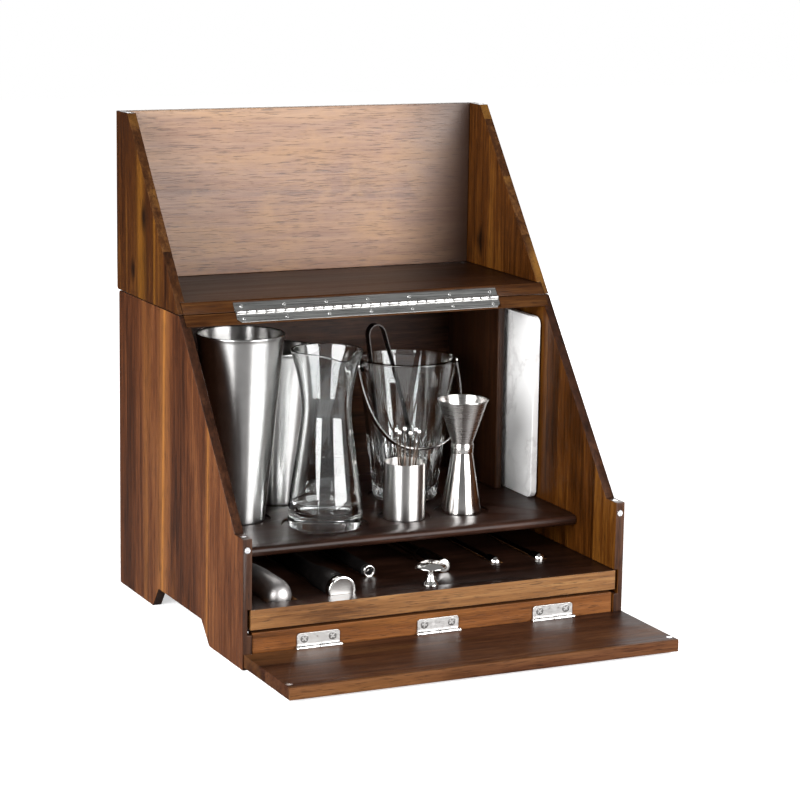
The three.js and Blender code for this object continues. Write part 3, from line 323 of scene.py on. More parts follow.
# Look, axes of the grain and of the plank widths, palette, plank width in m, seed, sapwood, specular
WOODS = (
    ("side_outer", "ZY", SIDE, 0.105, 2.3, 0.25, 0.14, dict(stripes=SIDE_STRIPES)),
    ("lid_side", "ZY", LID, 0.08, 5.1, 0.45, 0.1, dict(knots=LID_KNOTS, stripes=LID_STRIPES)),
    # The lid's right board and the right panel's inner face take the brighter copy of the lid wood: painted
    # light
    ("lid_side_right", "ZY", LID_LIT, 0.07, 3.4, 0.4, 0.1, dict(knots=LID_RIGHT_KNOTS)),
    ("side_inner", "ZY", LID_LIT, 0.105, 4.7, 0.3, 0.08, {}),
    ("edge", "ZY", INNER, 0.09, 1.1, 0.1, 0.2, {}),
    ("lid_edge", "ZY", EDGE, 0.045, 9.9, 0.7, 0.2, {}),
    # The back board darkens towards its right end: darker wood and painted shade of the lid's right side
    ("back", "XZ", BACK, 0.13, 1.7, 0.2, 0.4,
     dict(gloss=0.4, contrast=0.85, blotch=0.6, heart=(0.1, 0.185, 0.97))),
    ("back_outer", "XZ", SIDE, 0.09, 6.1, 0.3, 0.14, {}),
    ("cabinet_back", "XZ", INNER, 0.08, 8.2, 0.2, 0.1, {}),
    ("board", "XY", INNER, 0.06, 3.9, 0.1, 0.1, {}),
    ("board_front", "XZ", EDGE, 0.03, 2.9, 0.4, 0.1, {}),
    ("dark_board", "XY", DARK, 0.07, 6.6, 0.0, 0.15, dict(relief=0.08)),
    ("tray_front", "XZ", GOLD, 0.05, 5.7, 0.2, 0.15, {}),
    ("divider", "ZY", INNER, 0.06, 4.4, 0.2, 0.2, {}),
    ("rail", "XZ", RAIL, 0.05, 7.3, 0.2, 0.1, {}),
    ("flap", "XY", FLAP, 0.055, 9.1, 0.3, 0.04, dict(gloss=0.4)),
)
looks = {key: wood("acacia_" + key, *columns, **extras) for key, *columns, extras in WOODS}


# Metal, glass, stone
def metal(name, colour, rough, grain, brushed=0.0, spread=0.06, lift=0.03, above=None):
    """Steel or nickel with fine brushing or polish marks, their scale given by grain.

    brushed is the anisotropy round Z, and above is (height, colour, roughness) over a height."""
    n = Nodes(name)
    place = n.place()
    lines = n.noise(n.add("Mapping", {"Vector": place, "Scale": grain}).outputs[0], 1.0, 4, 0.6)
    smudge = n.noise(place, 38, 3, 0.55)
    tint = n.mix(n.span(smudge, 0.35, 0.7), (*colour, 1), shade(colour, 0.86))
    if above:
        height, other, rough_above = above
        level = n.add("SeparateXYZ", {"Vector": place}).outputs["Z"]
        share = n.span(level, height - MM, height + MM)
        tint = n.mix(share, tint, (*other, 1))
        rough = n.nudged(rough, share, rough_above - rough)
    worn = n.math("ADD", n.span(lines, 0.3, 0.7, -spread, spread), rough)
    n.set(Base_Color=tint, Metallic=1.0, Anisotropic=brushed, Roughness=n.nudged(worn, smudge, 0.05))
    if brushed:
        around = n.add("Tangent", direction_type="RADIAL", axis="Z")
        n.set(Anisotropic_Rotation=0.25, Tangent=around.outputs[0])
    n.bump(lines, lift, 0.0002)
    return n.material


def glass(name, waves):
    """Clear glass with slight waves and a faint film."""
    n = Nodes(name)
    place = n.place()
    film = n.noise(place, 60, 3, 0.6)
    n.set(Base_Color=(0.97, 0.985, 0.985, 1), Transmission_Weight=1.0, IOR=1.5,
          Roughness=n.span(film, 0.4, 0.8, 0.0, 0.02))
    n.bump(n.noise(place, 22, 2, 0.5), waves, 0.0006)
    return n.material


def stone(name):
    """White board with faint grey veins."""
    n = Nodes(name)
    place = n.place()
    warp = n.add("TexNoise", {"Vector": place, "Scale": 9.0, "Detail": 5.0, "Roughness": 0.6})
    shift = n.add("VectorMath", {0: warp.outputs["Color"], 1: (0.09, 0.09, 0.09)}, operation="MULTIPLY")
    bent = n.add("VectorMath", {0: place, 1: shift.outputs[0]}, operation="ADD")
    veins = n.noise(bent.outputs[0], 16, 5, 0.55)
    thin = n.math("ABSOLUTE", n.math("SUBTRACT", veins, 0.5))
    cloud = n.noise(place, 26, 4, 0.6)
    colour = n.ramp(n.span(thin, 0.0, 0.09), [(0.0, (0.74, 0.73, 0.725)), (0.4, (0.88, 0.875, 0.865)),
                                              (1.0, (0.95, 0.945, 0.94))])
    colour = n.mix(n.span(cloud, 0.4, 0.75, 0.0, 0.4), colour, (0.86, 0.855, 0.85, 1))
    n.set(Base_Color=colour, Roughness=n.span(cloud, 0.3, 0.7, 0.3, 0.42), Coat_Weight=0.15,
          Coat_Roughness=0.2)
    n.bump(cloud, 0.05, 0.0004)
    return n.material


def grip(name):
    """Dark matt grip with a fine grain."""
    n = Nodes(name)
    place = n.place()
    fine = n.noise(place, 900, 3, 0.6)
    wear = n.span(n.noise(place, 45, 4, 0.6), 0.35, 0.75)
    n.set(Base_Color=n.mix(wear, (0.004, 0.0036, 0.0035, 1), (0.012, 0.01, 0.0095, 1)),
          Roughness=n.span(fine, 0.3, 0.7, 0.3, 0.45), Specular_IOR_Level=0.15)
    n.bump(fine, 0.15, 0.0002)
    return n.material


SPUN = dict(brushed=0.9, grain=(40, 40, 2600), spread=0.02, lift=0.0)
POLISH = dict(grain=(200, 200, 200), spread=0.03, lift=0.01)
looks.update({
    "tin": metal("spun_steel", (0.64, 0.63, 0.62), 0.28, **SPUN),
    "cup": metal("brushed_steel", (0.66, 0.645, 0.63), 0.3, **SPUN),
    "polished": metal("polished_steel", (0.74, 0.72, 0.7), 0.08, **POLISH),
    "dark_steel": metal("dark_steel", (0.045, 0.04, 0.038), 0.26, grain=(400, 400, 60)),
    "nickel": metal("bright_nickel", (0.8, 0.79, 0.77), 0.3, grain=(30, 900, 900), spread=0.1),
    "butt_leaf": metal("butt_leaf_nickel", (0.54, 0.535, 0.525), 0.32, grain=(300, 300, 300), spread=0.08,
                       lift=0.02),
    "butt_knuckle": metal("butt_knuckle_nickel", (0.6, 0.59, 0.58), 0.26, grain=(300, 300, 300), spread=0.08),
    "leaf": metal("hinge_leaf_steel", (0.42, 0.42, 0.41), 0.3, grain=(25, 900, 900), spread=0.12),
    # Bright and dim copies of one hinge steel: painted highlight and painted shade on the knuckles
    "knuckle": metal("hinge_knuckle_steel", (0.82, 0.81, 0.79), 0.2, grain=(25, 900, 900)),
    "knuckle_painted_shade": metal("hinge_knuckle_painted_shade", (0.55, 0.54, 0.53), 0.28, grain=(25, 900, 900)),
    "screw": metal("screw_steel", (0.2, 0.195, 0.19), 0.34, grain=(500, 500, 500)),
    "screw_bright": metal("screw_bright_steel", (0.72, 0.72, 0.71), 0.24, grain=(500, 500, 500)),
    "satin_bright": metal("bail_steel", (0.55, 0.54, 0.53), 0.1, grain=(60, 60, 60), spread=0.04),
    "polished_soft": metal("jigger_steel", (0.74, 0.72, 0.7), 0.12, brushed=0.85, grain=(30, 30, 2600),
                           spread=0.01, lift=0.0, above=(0.1605, (0.62, 0.6, 0.585), 0.25)),
    "pick": metal("pick_steel", (0.3, 0.23, 0.19), 0.2, **POLISH, above=(0.1785, (0.82, 0.8, 0.78), 0.1)),
    "cast": metal("cast_steel", (0.5, 0.48, 0.47), 0.4, grain=(300, 300, 300), spread=0.05, lift=0.02),
    "knob": metal("knob_nickel", (0.84, 0.82, 0.79), 0.12, grain=(120, 120, 120), spread=0.03),
    "magnet": metal("plated_magnet", (0.8, 0.8, 0.82), 0.25, grain=(700, 700, 700)),
    "glass": glass("clear_glass", 0.12),
    "cut_glass": glass("cut_glass", 0.04),
    "stone": stone("white_stone"),
    "grip": grip("dark_grip"),
})


# Mesh helpers
def finish_piece(obj, body, look, replaced=None, sharp=35):
    """Look, smooth shading up to the sharp angle, body and the node it stands for."""
    obj.data.materials.clear()
    obj.data.materials.append(looks[look])
    for polygon in obj.data.polygons:
        polygon.use_smooth = True
    obj.data.set_sharp_from_angle(angle=math.radians(sharp))
    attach(obj, body)
    if replaced:
        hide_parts(replaced)
    return obj


def new_object(name, bm):
    mesh = bpy.data.meshes.new(name)
    bm.to_mesh(mesh)
    bm.free()
    obj = bpy.data.objects.new(name, mesh)
    scene.collection.objects.link(obj)
    return obj


def skin(name, rings, turn=None, place=(0, 0, 0), looped=False):
    """Closed mesh through rings of points in mm, its ends capped or looped together."""
    bm = bmesh.new()
    loops = [[bm.verts.new(Vector(point) * MM) for point in ring] for ring in rings]
    pairs = list(zip(loops, loops[1:]))
    if looped:
        pairs.append((loops[-1], loops[0]))
    else:
        bm.faces.new(loops[0])
        bm.faces.new(reversed(loops[-1]))
    for low, high in pairs:
        for k in range(len(low)):
            following = (k + 1) % len(low)
            bm.faces.new((low[k], low[following], high[following], high[k]))
    bmesh.ops.recalc_face_normals(bm, faces=bm.faces)
    if turn is not None:
        bmesh.ops.transform(bm, matrix=Matrix.Translation(Vector(place) * MM) @ turn, verts=bm.verts)
    return new_object(name, bm)


def soften(obj, width, steps=2, angle=30):
    """Bevel on the edges sharper than an angle, width in mm."""
    bevel = obj.modifiers.new("edge", "BEVEL")
    bevel.width = width * MM
    bevel.segments = steps
    bevel.limit_method = "ANGLE"
    bevel.angle_limit = math.radians(angle)
    bevel.use_clamp_overlap = True
    bevel.harden_normals = True


def eased(node, look, edge=0.7, faces=()):
    """A board's CAD shape with its arrises eased by edge mm, standing for the node.

    faces are (look, test of a normal) for the faces with a look of their own."""
    bm = bmesh.new()
    bm.from_mesh(nodes[node].data)
    bmesh.ops.remove_doubles(bm, verts=bm.verts, dist=1e-6)
    bmesh.ops.dissolve_limit(bm, angle_limit=math.radians(1), verts=bm.verts, edges=bm.edges)
    obj = new_object(node + "_eased", bm)
    finish_piece(obj, nodes[node]["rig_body"], look, node, sharp=40)
    for number, (other, test) in enumerate(faces):
        obj.data.materials.append(looks[other])
        for polygon in obj.data.polygons:
            if test(polygon.normal):
                polygon.material_index = number + 1
    soften(obj, edge, angle=28)
    graph = bpy.context.evaluated_depsgraph_get()
    obj.data = bpy.data.meshes.new_from_object(obj.evaluated_get(graph))
    obj.modifiers.clear()
    low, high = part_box(node)
    for vertex in obj.data.vertices:
        vertex.co = [max(a, min(b, c)) for a, b, c in zip(low, high, vertex.co)]
    return obj


def curve_points(points, steps):
    """Catmull-Rom curve through points of any dimension."""
    vectors = [Vector(p) for p in points]
    ends = [vectors[0], *vectors, vectors[-1]]
    smooth = []
    for p0, p1, p2, p3 in zip(ends, ends[1:], ends[2:], ends[3:]):
        for k in range(steps):
            t = k / steps
            smooth.append(0.5 * (2 * p1 + (p2 - p0) * t + (2 * p0 - 5 * p1 + 4 * p2 - p3) * t * t
                                 + (3 * p1 - p0 - 3 * p2 + p3) * t ** 3))
    smooth.append(vectors[-1])
    return smooth


def arc(centre_r, centre_z, radius, start, end, steps):
    """Points of an arc in a profile, angles in degrees from outward."""
    points = []
    for k in range(steps + 1):
        angle = math.radians(start + (end - start) * k / steps)
        points.append((centre_r + radius * math.cos(angle), centre_z + radius * math.sin(angle)))
    return points


def lathe(name, profile, centre, turn=None, steps=96, warp=None):
    """Profile of (radius, height) in mm turned about Z; warp moves each point in mm."""
    bm = bmesh.new()
    rings = []
    for radius, height in profile:
        ring = []
        for k in range(steps if radius > 1e-6 else 1):
            angle = 2 * math.pi * k / steps
            point = Vector((radius * math.cos(angle), radius * math.sin(angle), height))
            ring.append(bm.verts.new((warp(point) if warp else point) * MM))
        rings.append(ring)
    pairs = list(zip(rings, rings[1:]))
    if len(rings[0]) > 1:
        pairs.append((rings[-1], rings[0]))
    for low, high in pairs:
        for k in range(steps):
            following = (k + 1) % steps
            corners = [low[k % len(low)], low[following % len(low)]]
            corners += [high[following % len(high)], high[k % len(high)]]
            unique = list(dict.fromkeys(corners))
            if len(unique) > 2:
                bm.faces.new(unique)
    bmesh.ops.recalc_face_normals(bm, faces=bm.faces)
    if turn is not None:
        bmesh.ops.transform(bm, matrix=turn, verts=bm.verts)
    bmesh.ops.translate(bm, verts=bm.verts, vec=Vector(centre) * MM)
    return new_object(name, bm)


# Boards
# Least part of a normal that counts as facing a way
FACING = 0.7


def facing(axis, sign=1):
    """Test of a normal that looks along an axis."""
    return lambda normal: normal[axis] * sign > FACING


def endways(normal):
    """Test of a normal on the narrow edges of an upright side board."""
    return abs(normal.x) < FACING


TO_LEFT, TO_RIGHT, TO_BACK, UPWARD = facing(0, -1), facing(0), facing(1), facing(2)
boards = {
    "side_panel_left": ("side_outer", (("edge", endways), ("divider", TO_RIGHT))),
    # Its inner face takes the brighter copy of the lid wood, the left panel's inner face the dark inner wood:
    # painted light
    "side_panel_right": ("side_outer", (("edge", endways), ("side_inner", TO_LEFT))),
    "lid_side_left": ("lid_side", (("lid_edge", endways),)),
    "lid_side_right": ("lid_side_right", (("lid_edge", endways),)),
    "lid_back": ("back", (("back_outer", TO_BACK),)),
    "back_panel": ("cabinet_back", (("back_outer", TO_BACK),)),
    "roof_board": ("board_front", (("board", UPWARD),)),
    "lid_board": ("board_front", (("board", UPWARD),)),
    "shelf": ("dark_board", ()),
    "bottom_board": ("dark_board", ()),
    "tray": ("tray_front", (("dark_board", UPWARD),)),
    "slot_divider": ("divider", ()),
    "front_rail": ("rail", ()),
    "flap_board": ("flap", ()),
}
for node, (look, faces) in boards.items():
    eased(node, look, faces=faces)


# Magnets and hinge pins keep their CAD shape
for node, obj in nodes.items():
    for part, look in (("magnet", "magnet"), ("flap_hinge_pin", "nickel"), ("long_hinge_pin", "leaf")):
        if part in node:
            obj.data.materials.clear()
            obj.data.materials.append(looks[look])


# Barware on the shelf
# Height of the shelf's wells and depth of the side panels' front edge in the row frame, mm
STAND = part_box("large_tin")[0].z / MM
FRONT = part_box("side_panel_left")[0].y / MM
# The bucket's centre in the drawing, its height and that of its ears over its foot
BUCKET_X, BUCKET_Y, BUCKET_HEIGHT = 70, 226, 148.2
EAR_HEIGHT = 0.953 * BUCKET_HEIGHT
SIDES = ((-1, "left"), (1, "right"))


def row(x, y, z=0.0):
    """Point of the cabinet drawing (y from the side's front edge) in the row frame, mm."""
    return x, y + FRONT, z


def middle(node):
    """Middle of a node's box, mm."""
    low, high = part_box(node)
    return (low + high) / 2 / MM


def tin(node, x, y, height, rim, base):
    """Mixing tin with a rolled rim, given by the outer radii of its rim and base."""
    lip, bore, floor = rim - 1.15, rim - 2.3, base - 1
    profile = [(0, 0.8), (base - 7, 0.8), (base - 5.5, 0.35), (base - 4.6, 0)]
    profile += arc(base - 2.6, 2.4, 2.4, -90, -8, 5)
    profile += [(base + (rim - 0.9 - base) * t, 3 + (height - 5.6) * t)
                for t in (0.02, 0.25, 0.5, 0.75, 0.985)]
    profile += arc(lip, height - 1.15, 1.15, -50, 150, 8)
    profile += [(rim - 2.2, height - 1.6), (bore, height - 4)]
    profile += [(floor + (bore - floor) * t, 4 + (height - 8) * t) for t in (0.75, 0.5, 0.25, 0.0)]
    profile += [(base - 2.4, 2.4), (base - 5, 1.5), (0, 1.5)]
    obj = lathe(node + "_spun", profile, row(x, y, STAND), steps=128)
    finish_piece(obj, node, "tin", node, sharp=50)


tin("large_tin", -128, 194, 190.2, 44.4, 25)
tin("small_tin", -64, 256, 161.2, 45, 25)

# Outline of the carafe as shares of its base radius and height
CARAFE_SHARES = [(0.94, 0), (1, 0.03), (0.99, 0.1), (0.93, 0.22), (0.84, 0.35), (0.75, 0.48), (0.68, 0.6),
                 (0.663, 0.68), (0.7, 0.77), (0.78, 0.86), (0.88, 0.94), (0.965, 1)]


def make_carafe():
    """Waisted carafe with a pouring lip at the front."""
    height, base, wall = 178.5, 37.7, 2.6
    outside = curve_points([(r * base, z * height) for r, z in CARAFE_SHARES[1:]], 6)
    outside = [(p.x, p.y) for p in outside if p.y < height - 1.4]
    profile = [(0, 1.6), (22, 1.4), (28, 0.6), (31, 0.1)]
    profile += arc(33.4, 4.2, 4.2, -88, -8, 6)
    profile += outside
    lip = outside[-1][0] - wall / 2 + 0.25
    profile += arc(lip, height - 1.35, 1.32, -10, 190, 8)
    for r, z in reversed(outside):
        if z > 21:
            profile.append((r - wall, z))
    profile += [(32.6, 19), (31.2, 16.2), (28.6, 13.8), (24, 12.1), (17, 11.5), (8, 11.3), (0, 11.2)]
    start, reach, drop, spread = 0.75 * height, 9, 5, 0.38

    def spout(p):
        rise = max(0, (p.z - start) / (height - start)) ** 2
        share = rise * math.exp(-(math.atan2(p.x, -p.y) / spread) ** 2)
        return Vector((p.x, p.y - reach * share, p.z - drop * share))

    obj = lathe("carafe_blown", profile, row(-58, 141, STAND), steps=144, warp=spout)
    finish_piece(obj, "carafe", "glass", "carafe", sharp=180)


def make_bucket():
    """Glass bucket with flutes below its middle, crossed cuts near the foot and two ears."""
    height, base, rim, wall, flutes = BUCKET_HEIGHT, 33, 51, 3.6, 30
    well, levels = 17, 84

    def radius(z):
        return base + (rim - base) * z / height

    profile = [(0, 1.2), (22, 1.2), (27, 0.4), (29, 0)]
    profile += arc(30.4, 2.4, 2.3, -90, -10, 5)
    rows = [4 + (height - 6.6) * k / levels for k in range(levels + 1)]
    profile += [(radius(z), z) for z in rows]
    profile += arc(rim - wall / 2 - 0.1, height - 1.75, 1.75, 0, 180, 8)
    profile += [(radius(z) - wall, z) for z in reversed(rows) if z > well]
    inner = radius(well) - wall
    profile += [(inner - 1.2, 13.5), (inner - 3.6, 11.2), (inner - 8, 9.8), (inner - 18, 9.2), (0, 9.1)]
    flute_top, flute_depth, cross_top, cross_depth, cross_middle = 0.47, 2.5, 0.24, 1.5, 0.13
    ear_rise, ear_reach = 4.6, 6.2

    def cut(p):
        r = math.hypot(p.x, p.y)
        if r - radius(p.z) <= -wall * 0.5 or r < 12:
            return p
        share = p.z / height
        angle = math.atan2(p.y, p.x)
        turns = angle * flutes / (2 * math.pi)
        push = 0
        if share < 0.5:
            cell = turns % 1 * 2 - 1
            width = min(1, max(0, (flute_top - share) / 0.2)) * min(1, max(0, (share - 0.03) / 0.05))
            if width > 0:
                push -= flute_depth * max(0, width - abs(cell)) / max(width, 0.3)
        if share < cross_top:
            fade = min(1, (cross_top - share) / 0.05) * min(1, max(0, (share - 0.03) / 0.03))
            lines = [(turns + 0.5 + way * (share - cross_middle) * 9) % 1 * 2 - 1 for way in (1, -1)]
            push -= cross_depth * fade * sum(max(0, 0.4 - abs(line)) for line in lines)
        from_ear = math.hypot(r * abs(math.sin(angle)), p.z - EAR_HEIGHT)
        push += ear_rise * math.exp(-(from_ear / ear_reach) ** 4)
        return Vector((p.x * (r + push) / r, p.y * (r + push) / r, p.z))

    obj = lathe("bucket_cut", profile, row(BUCKET_X, BUCKET_Y, STAND), steps=360, warp=cut)
    finish_piece(obj, "ice_bucket", "cut_glass", "ice_bucket", sharp=24)


def strap(name, path, thickness, width, turn, place):
    """Flat strip bent along a path of (x, z) in mm, its width along y."""
    rings = []
    for k, point in enumerate(path):
        before, after = path[max(0, k - 1)], path[min(len(path) - 1, k + 1)]
        tangent = (Vector(after) - Vector(before)).normalized()
        across = Vector((-tangent.y, tangent.x)) * thickness / 2
        rings.append([(point[0] + side * across.x, edge * width / 2, point[1] + side * across.y)
                      for side, edge in ((1, -1), (1, 1), (-1, 1), (-1, -1))])
    return skin(name, rings, turn, place)


def make_bail():
    """Hoop of flat steel with an eye at each ear."""
    half_span, drop, steps = 56.05, 92.75, 96
    place = row(BUCKET_X, BUCKET_Y, STAND + EAR_HEIGHT)
    turn = Matrix.Rotation(math.radians(-27.81), 4, "X")

    def full(value):
        return math.copysign(abs(value) ** 0.8, value)

    angles = [math.pi * k / steps for k in range(steps + 1)]
    path = [(half_span * full(math.cos(a)), -drop * full(math.sin(a))) for a in angles]
    band = strap("bail_band", path, 1.5, 6, turn, place)
    soften(band, 0.35)
    finish_piece(band, "bail", "satin_bright", "bucket_bail", sharp=40)
    profile = [(0, -4.6), (1.1, -4.6), (1.5, -4.2), (1.5, -0.9), (4.0, -0.75), (4.4, -0.4), (4.4, 0.4),
               (4.0, 0.75), (2.2, 0.75), (1.6, 0.72), (0, 0.7)]
    for side, word in SIDES:
        eye = lathe(f"bail_eye_{word}", profile, (0, 0, 0), steps=40,
                    turn=Matrix.Rotation(math.radians(90 * side), 4, "Y"))
        outward = Matrix.Translation((side * half_span * MM, 0, 0))
        eye.data.transform(Matrix.Translation(Vector(place) * MM) @ turn @ outward)
        finish_piece(eye, "bail", "satin_bright")


def make_tongs():
    """Tongs bent from one strip, leaning in the bucket."""
    length, half, tip, thickness, steps = 176, 9.3, 15.8, 1.4, 24
    bend, knee = 0.93 * length, 0.5 * length
    bow = length - thickness / 2 - bend
    legs = curve_points([(tip, 0.2), (tip, knee * 0.5), (tip, knee * 0.85), (tip - 0.5, knee),
                         (tip - 1.4, knee * 1.14), (half + 1.0, bend - 12), (half, bend)], 5)
    angles = [math.pi * k / steps for k in range(1, steps)]
    path = [(-x, z) for x, z in legs]
    path += [(-half * math.cos(a), bend + bow * math.sin(a)) for a in angles]
    path += [(x, z) for x, z in reversed(legs)]
    lean = math.atan2(30.9, 139.2)
    obj = strap("tongs_bent", path, thickness, 10, Matrix.Rotation(-lean, 4, "Y"),
                row(BUCKET_X, BUCKET_Y, STAND + 9.3 + 16.5 * math.sin(lean)))
    soften(obj, 0.35)
    finish_piece(obj, "tongs", "dark_steel", "ice_tongs", sharp=40)


def make_jigger():
    """Two spun cones joined by a band."""
    height, base, rim, band, waist, wall = 117, 21, 26, 11.6, 10.6, 0.9
    low, high = 0.53 * height, 0.61 * height
    middle = (low + high) / 2
    profile = [(0, middle - 0.6), (waist - 3, middle - 0.9), (waist - wall, low - 2),
               (base - wall - 0.2, 1.2)]
    profile += arc(base - 0.75, 0.75, 0.75, 200, 370, 8)
    profile += [(waist + 0.4, low - 1.4), (waist + 0.15, low - 0.4), (waist + 0.3, low),
                (band - 0.3, low + 0.05)]
    profile += arc(band - 0.35, low + 0.45, 0.35, -80, 0, 3)
    profile += arc(band - 0.35, high - 0.45, 0.35, 0, 80, 3)
    profile += [(waist + 0.3, high - 0.05), (waist + 0.15, high + 0.4), (waist + 0.5, high + 1.4)]
    profile += [(rim - 1.1, height - 2.2), (rim - 0.8, height - 1.5)]
    profile += arc(rim - 0.75, height - 0.75, 0.75, -60, 160, 8)
    profile += [(rim - 1.8, height - 1.8), (waist - wall + 0.4, high + 2), (waist - 3, middle + 0.9),
                (0, middle + 0.6)]
    obj = lathe("jigger_spun", profile, row(94.7, 144, STAND), steps=128)
    finish_piece(obj, "jigger", "polished_soft", "jigger", sharp=30)


def make_cup():
    """Small straight cup that holds the picks."""
    height, radius, wall = 58.2, 21.2, 1.0
    profile = [(0, 0.6), (radius - 4, 0.6), (radius - 3, 0.1)]
    profile += arc(radius - 1.4, 1.4, 1.4, -90, 0, 5)
    profile += [(radius, z) for z in (20, 40, height - 0.6)]
    profile += arc(radius - 0.5, height - 0.5, 0.5, 0, 180, 6)
    profile += [(radius - wall, z) for z in (40, 20, 3)]
    profile += arc(radius - 3, 3.4, 2, 0, -90, 4)
    profile += [(0, 1.4)]
    obj = lathe("pick_cup_drawn", profile, row(29, 141, STAND), steps=112)
    finish_piece(obj, "pick_cup", "cup", "pick_cup", sharp=40)


def between(start, stop):
    """Length of a line and the turn from +z onto it."""
    line = stop - start
    return line.length, Vector((0, 0, 1)).rotation_difference(line).to_matrix().to_4x4()


def make_picks():
    """Six picks in a ring, their feet closer together than their egg-shaped heads."""
    count, first, middle_x, middle_y, head_ring, foot_share = 6, 19.5, 31.5, 141, 11.6, 0.37
    foot_height, head_height, head_radius, stretch = STAND + 2.15, 182.2, 2.3, 1.7
    for index in range(count):
        angle = math.radians(first + 360 / count * index)
        foot, head = (Vector(row(middle_x + ring * math.cos(angle), middle_y + ring * math.sin(angle), level))
                      for ring, level in ((head_ring * foot_share, foot_height), (head_ring, head_height)))
        length, turn = between(foot, head)
        profile = [(0, 0), (0.35, 0.5), (0.85, 3), (0.9, 5), (0.9, length - 30), (0.9, length - 3.9),
                   (1.05, length - 3.6)]
        profile += [(r, length + stretch * z) for r, z in arc(0, 0, head_radius, -58, 90, 16)]
        profile[-1] = (0, length + head_radius * stretch)
        obj = lathe(f"pick_{index + 1}_turned", profile, foot, turn=turn, steps=32)
        finish_piece(obj, "picks", "pick", f"pick_{index + 1}", sharp=50)


make_carafe()
make_bucket()
make_bail()
make_tongs()
make_jigger()
make_cup()
make_picks()


def make_white_board():
    """Board in its slot, with round corners at the front and nearly square ones behind."""
    low, high = (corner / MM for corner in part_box("white_board"))
    front, back = 8.5, 0.6
    corners = []
    for cy, cz, start in ((high.y - back, low.z + back, -90), (high.y - back, high.z - back, 0)):
        corners += arc(cy, cz, back, start, start + 90, 2)
    for cy, cz, start in ((low.y + front, high.z - front, 90), (low.y + front, low.z + front, 180)):
        corners += arc(cy, cz, front, start, start + 90, 14)
    obj = skin("white_board_honed", [[(x, y, z) for y, z in corners] for x in (low.x, high.x)])
    soften(obj, 2.6, 5, 60)
    finish_piece(obj, "white_board", "stone", "white_board", sharp=60)


make_white_board()


# Tray tools and knob
TO_REAR = Matrix.Rotation(math.radians(-90), 4, "X")


def lying(name, node, profile, x, z, look, body=None, steps=72):
    """Profile of (radius, depth in the drawing) turned about a line that runs front to back."""
    profile = [(r, y + FRONT) for r, y in profile]
    obj = lathe(name, profile, (x, 0, z), turn=TO_REAR, steps=steps)
    finish_piece(obj, body or node, look, node, sharp=40)


def smooth_shares(shares, radius, start, length):
    """Profile in mm through shares of a radius and a length."""
    return [(max(0, p.x) * radius, start + p.y * length) for p in curve_points(shares, 6)]


def make_tools():
    """Tools in their beds, each profile from its front end back."""
    muddler_x, muddler_z = -92.8, 60.8
    dome = smooth_shares([(0, 0), (0.3, 0.003), (0.55, 0.012), (0.78, 0.03), (0.95, 0.065), (1, 0.1),
                          (1, 0.2), (1, 0.3), (0.9, 0.42), (0.62, 0.6), (0.55, 0.78), (0.5, 0.95),
                          (0.3, 0.99)], 15.4, 19.5, 210)
    lying("domed_tool_cast", "domed_tool", dome + [(0, 229.5)], -155, 59.6, "cast")
    cap = [(0, 19.9), (10.9, 19.9), (11.4, 19.7)] + arc(13.1, 20.7, 1, -90, 0, 4)[1:]
    cap += [(14.1, 28), (13.7, 28.6), (0, 28.7)]
    lying("muddler_cap_turned", "muddler_cap", cap, muddler_x, muddler_z, "polished",
          body="muddler")
    body = smooth_shares([(0.9, 0), (0.94, 0.1), (0.8, 0.25), (0.58, 0.4), (0.62, 0.7), (0.7, 0.9),
                          (0.5, 0.99)], 14.05, 29, 180.7)
    lying("muddler_turned", "muddler", [(0, 29)] + body + [(0, 209.7)], muddler_x, muddler_z, "grip")
    tip = smooth_shares([(0.9, 0.006), (0.97, 0.018), (1, 0.035), (1, 0.3), (0.7, 0.38), (0.7, 0.94),
                         (0.45, 0.99)], 7.65, 55, 165)
    lying("round_tool_turned", "round_tool", [(0, 55.4), (5, 55.3), (6.4, 55.8)] + tip + [(0, 220)],
          32.6, 63.2, "polished")
    slim = [(0, 0), (0.35, 0.002), (0.6, 0.006), (0.9, 0.018), (1, 0.035), (0.9, 0.12), (0.6, 0.2),
            (0.6, 0.96)]
    for side, x, front in (("left", 98.6, 68.5), ("right", 146.2, 64.2)):
        profile = smooth_shares(slim, 5.45, front, 165) + [(0, front + 165)]
        lying(f"slim_tool_{side}_turned", f"slim_tool_{side}", profile, x, 57.4, "polished",
              steps=48)


def make_opener():
    """Wire ring on a bent neck, and the handle's own shape with eased edges."""
    x, y, z = -42, 70, 62.6
    ring, wire, centre = 5.2, 1.2, Vector(row(x, y, z))
    around, section = 64, 16
    rings = []
    for k in range(around):
        a = 2 * math.pi * k / around
        loop = []
        for j in range(section):
            b = 2 * math.pi * j / section
            r = ring + wire * math.cos(b)
            loop.append(centre + Vector((r * math.cos(a), wire * math.sin(b), r * math.sin(a))))
        rings.append(loop)
    obj = skin("opener_ring_bent", rings, looped=True)
    finish_piece(obj, "opener", "polished", "opener_ring")
    foot, knee, end = (Vector(row(x, *spot)) for spot in ((y, z + ring), (72.8, z), (81.2, z)))
    for index, (start, stop) in enumerate(((foot, knee), (knee, end))):
        length, turn = between(start, stop)
        profile = [(0, -0.2), (0.8, 0), (1.15, 0.4), (1.15, length - 0.4), (0.8, length), (0, length + 0.2)]
        neck = lathe(f"opener_neck_{index + 1}", profile, start, turn=turn, steps=24)
        finish_piece(neck, "opener", "polished")
    eased("opener_handle", "grip", edge=0.5)


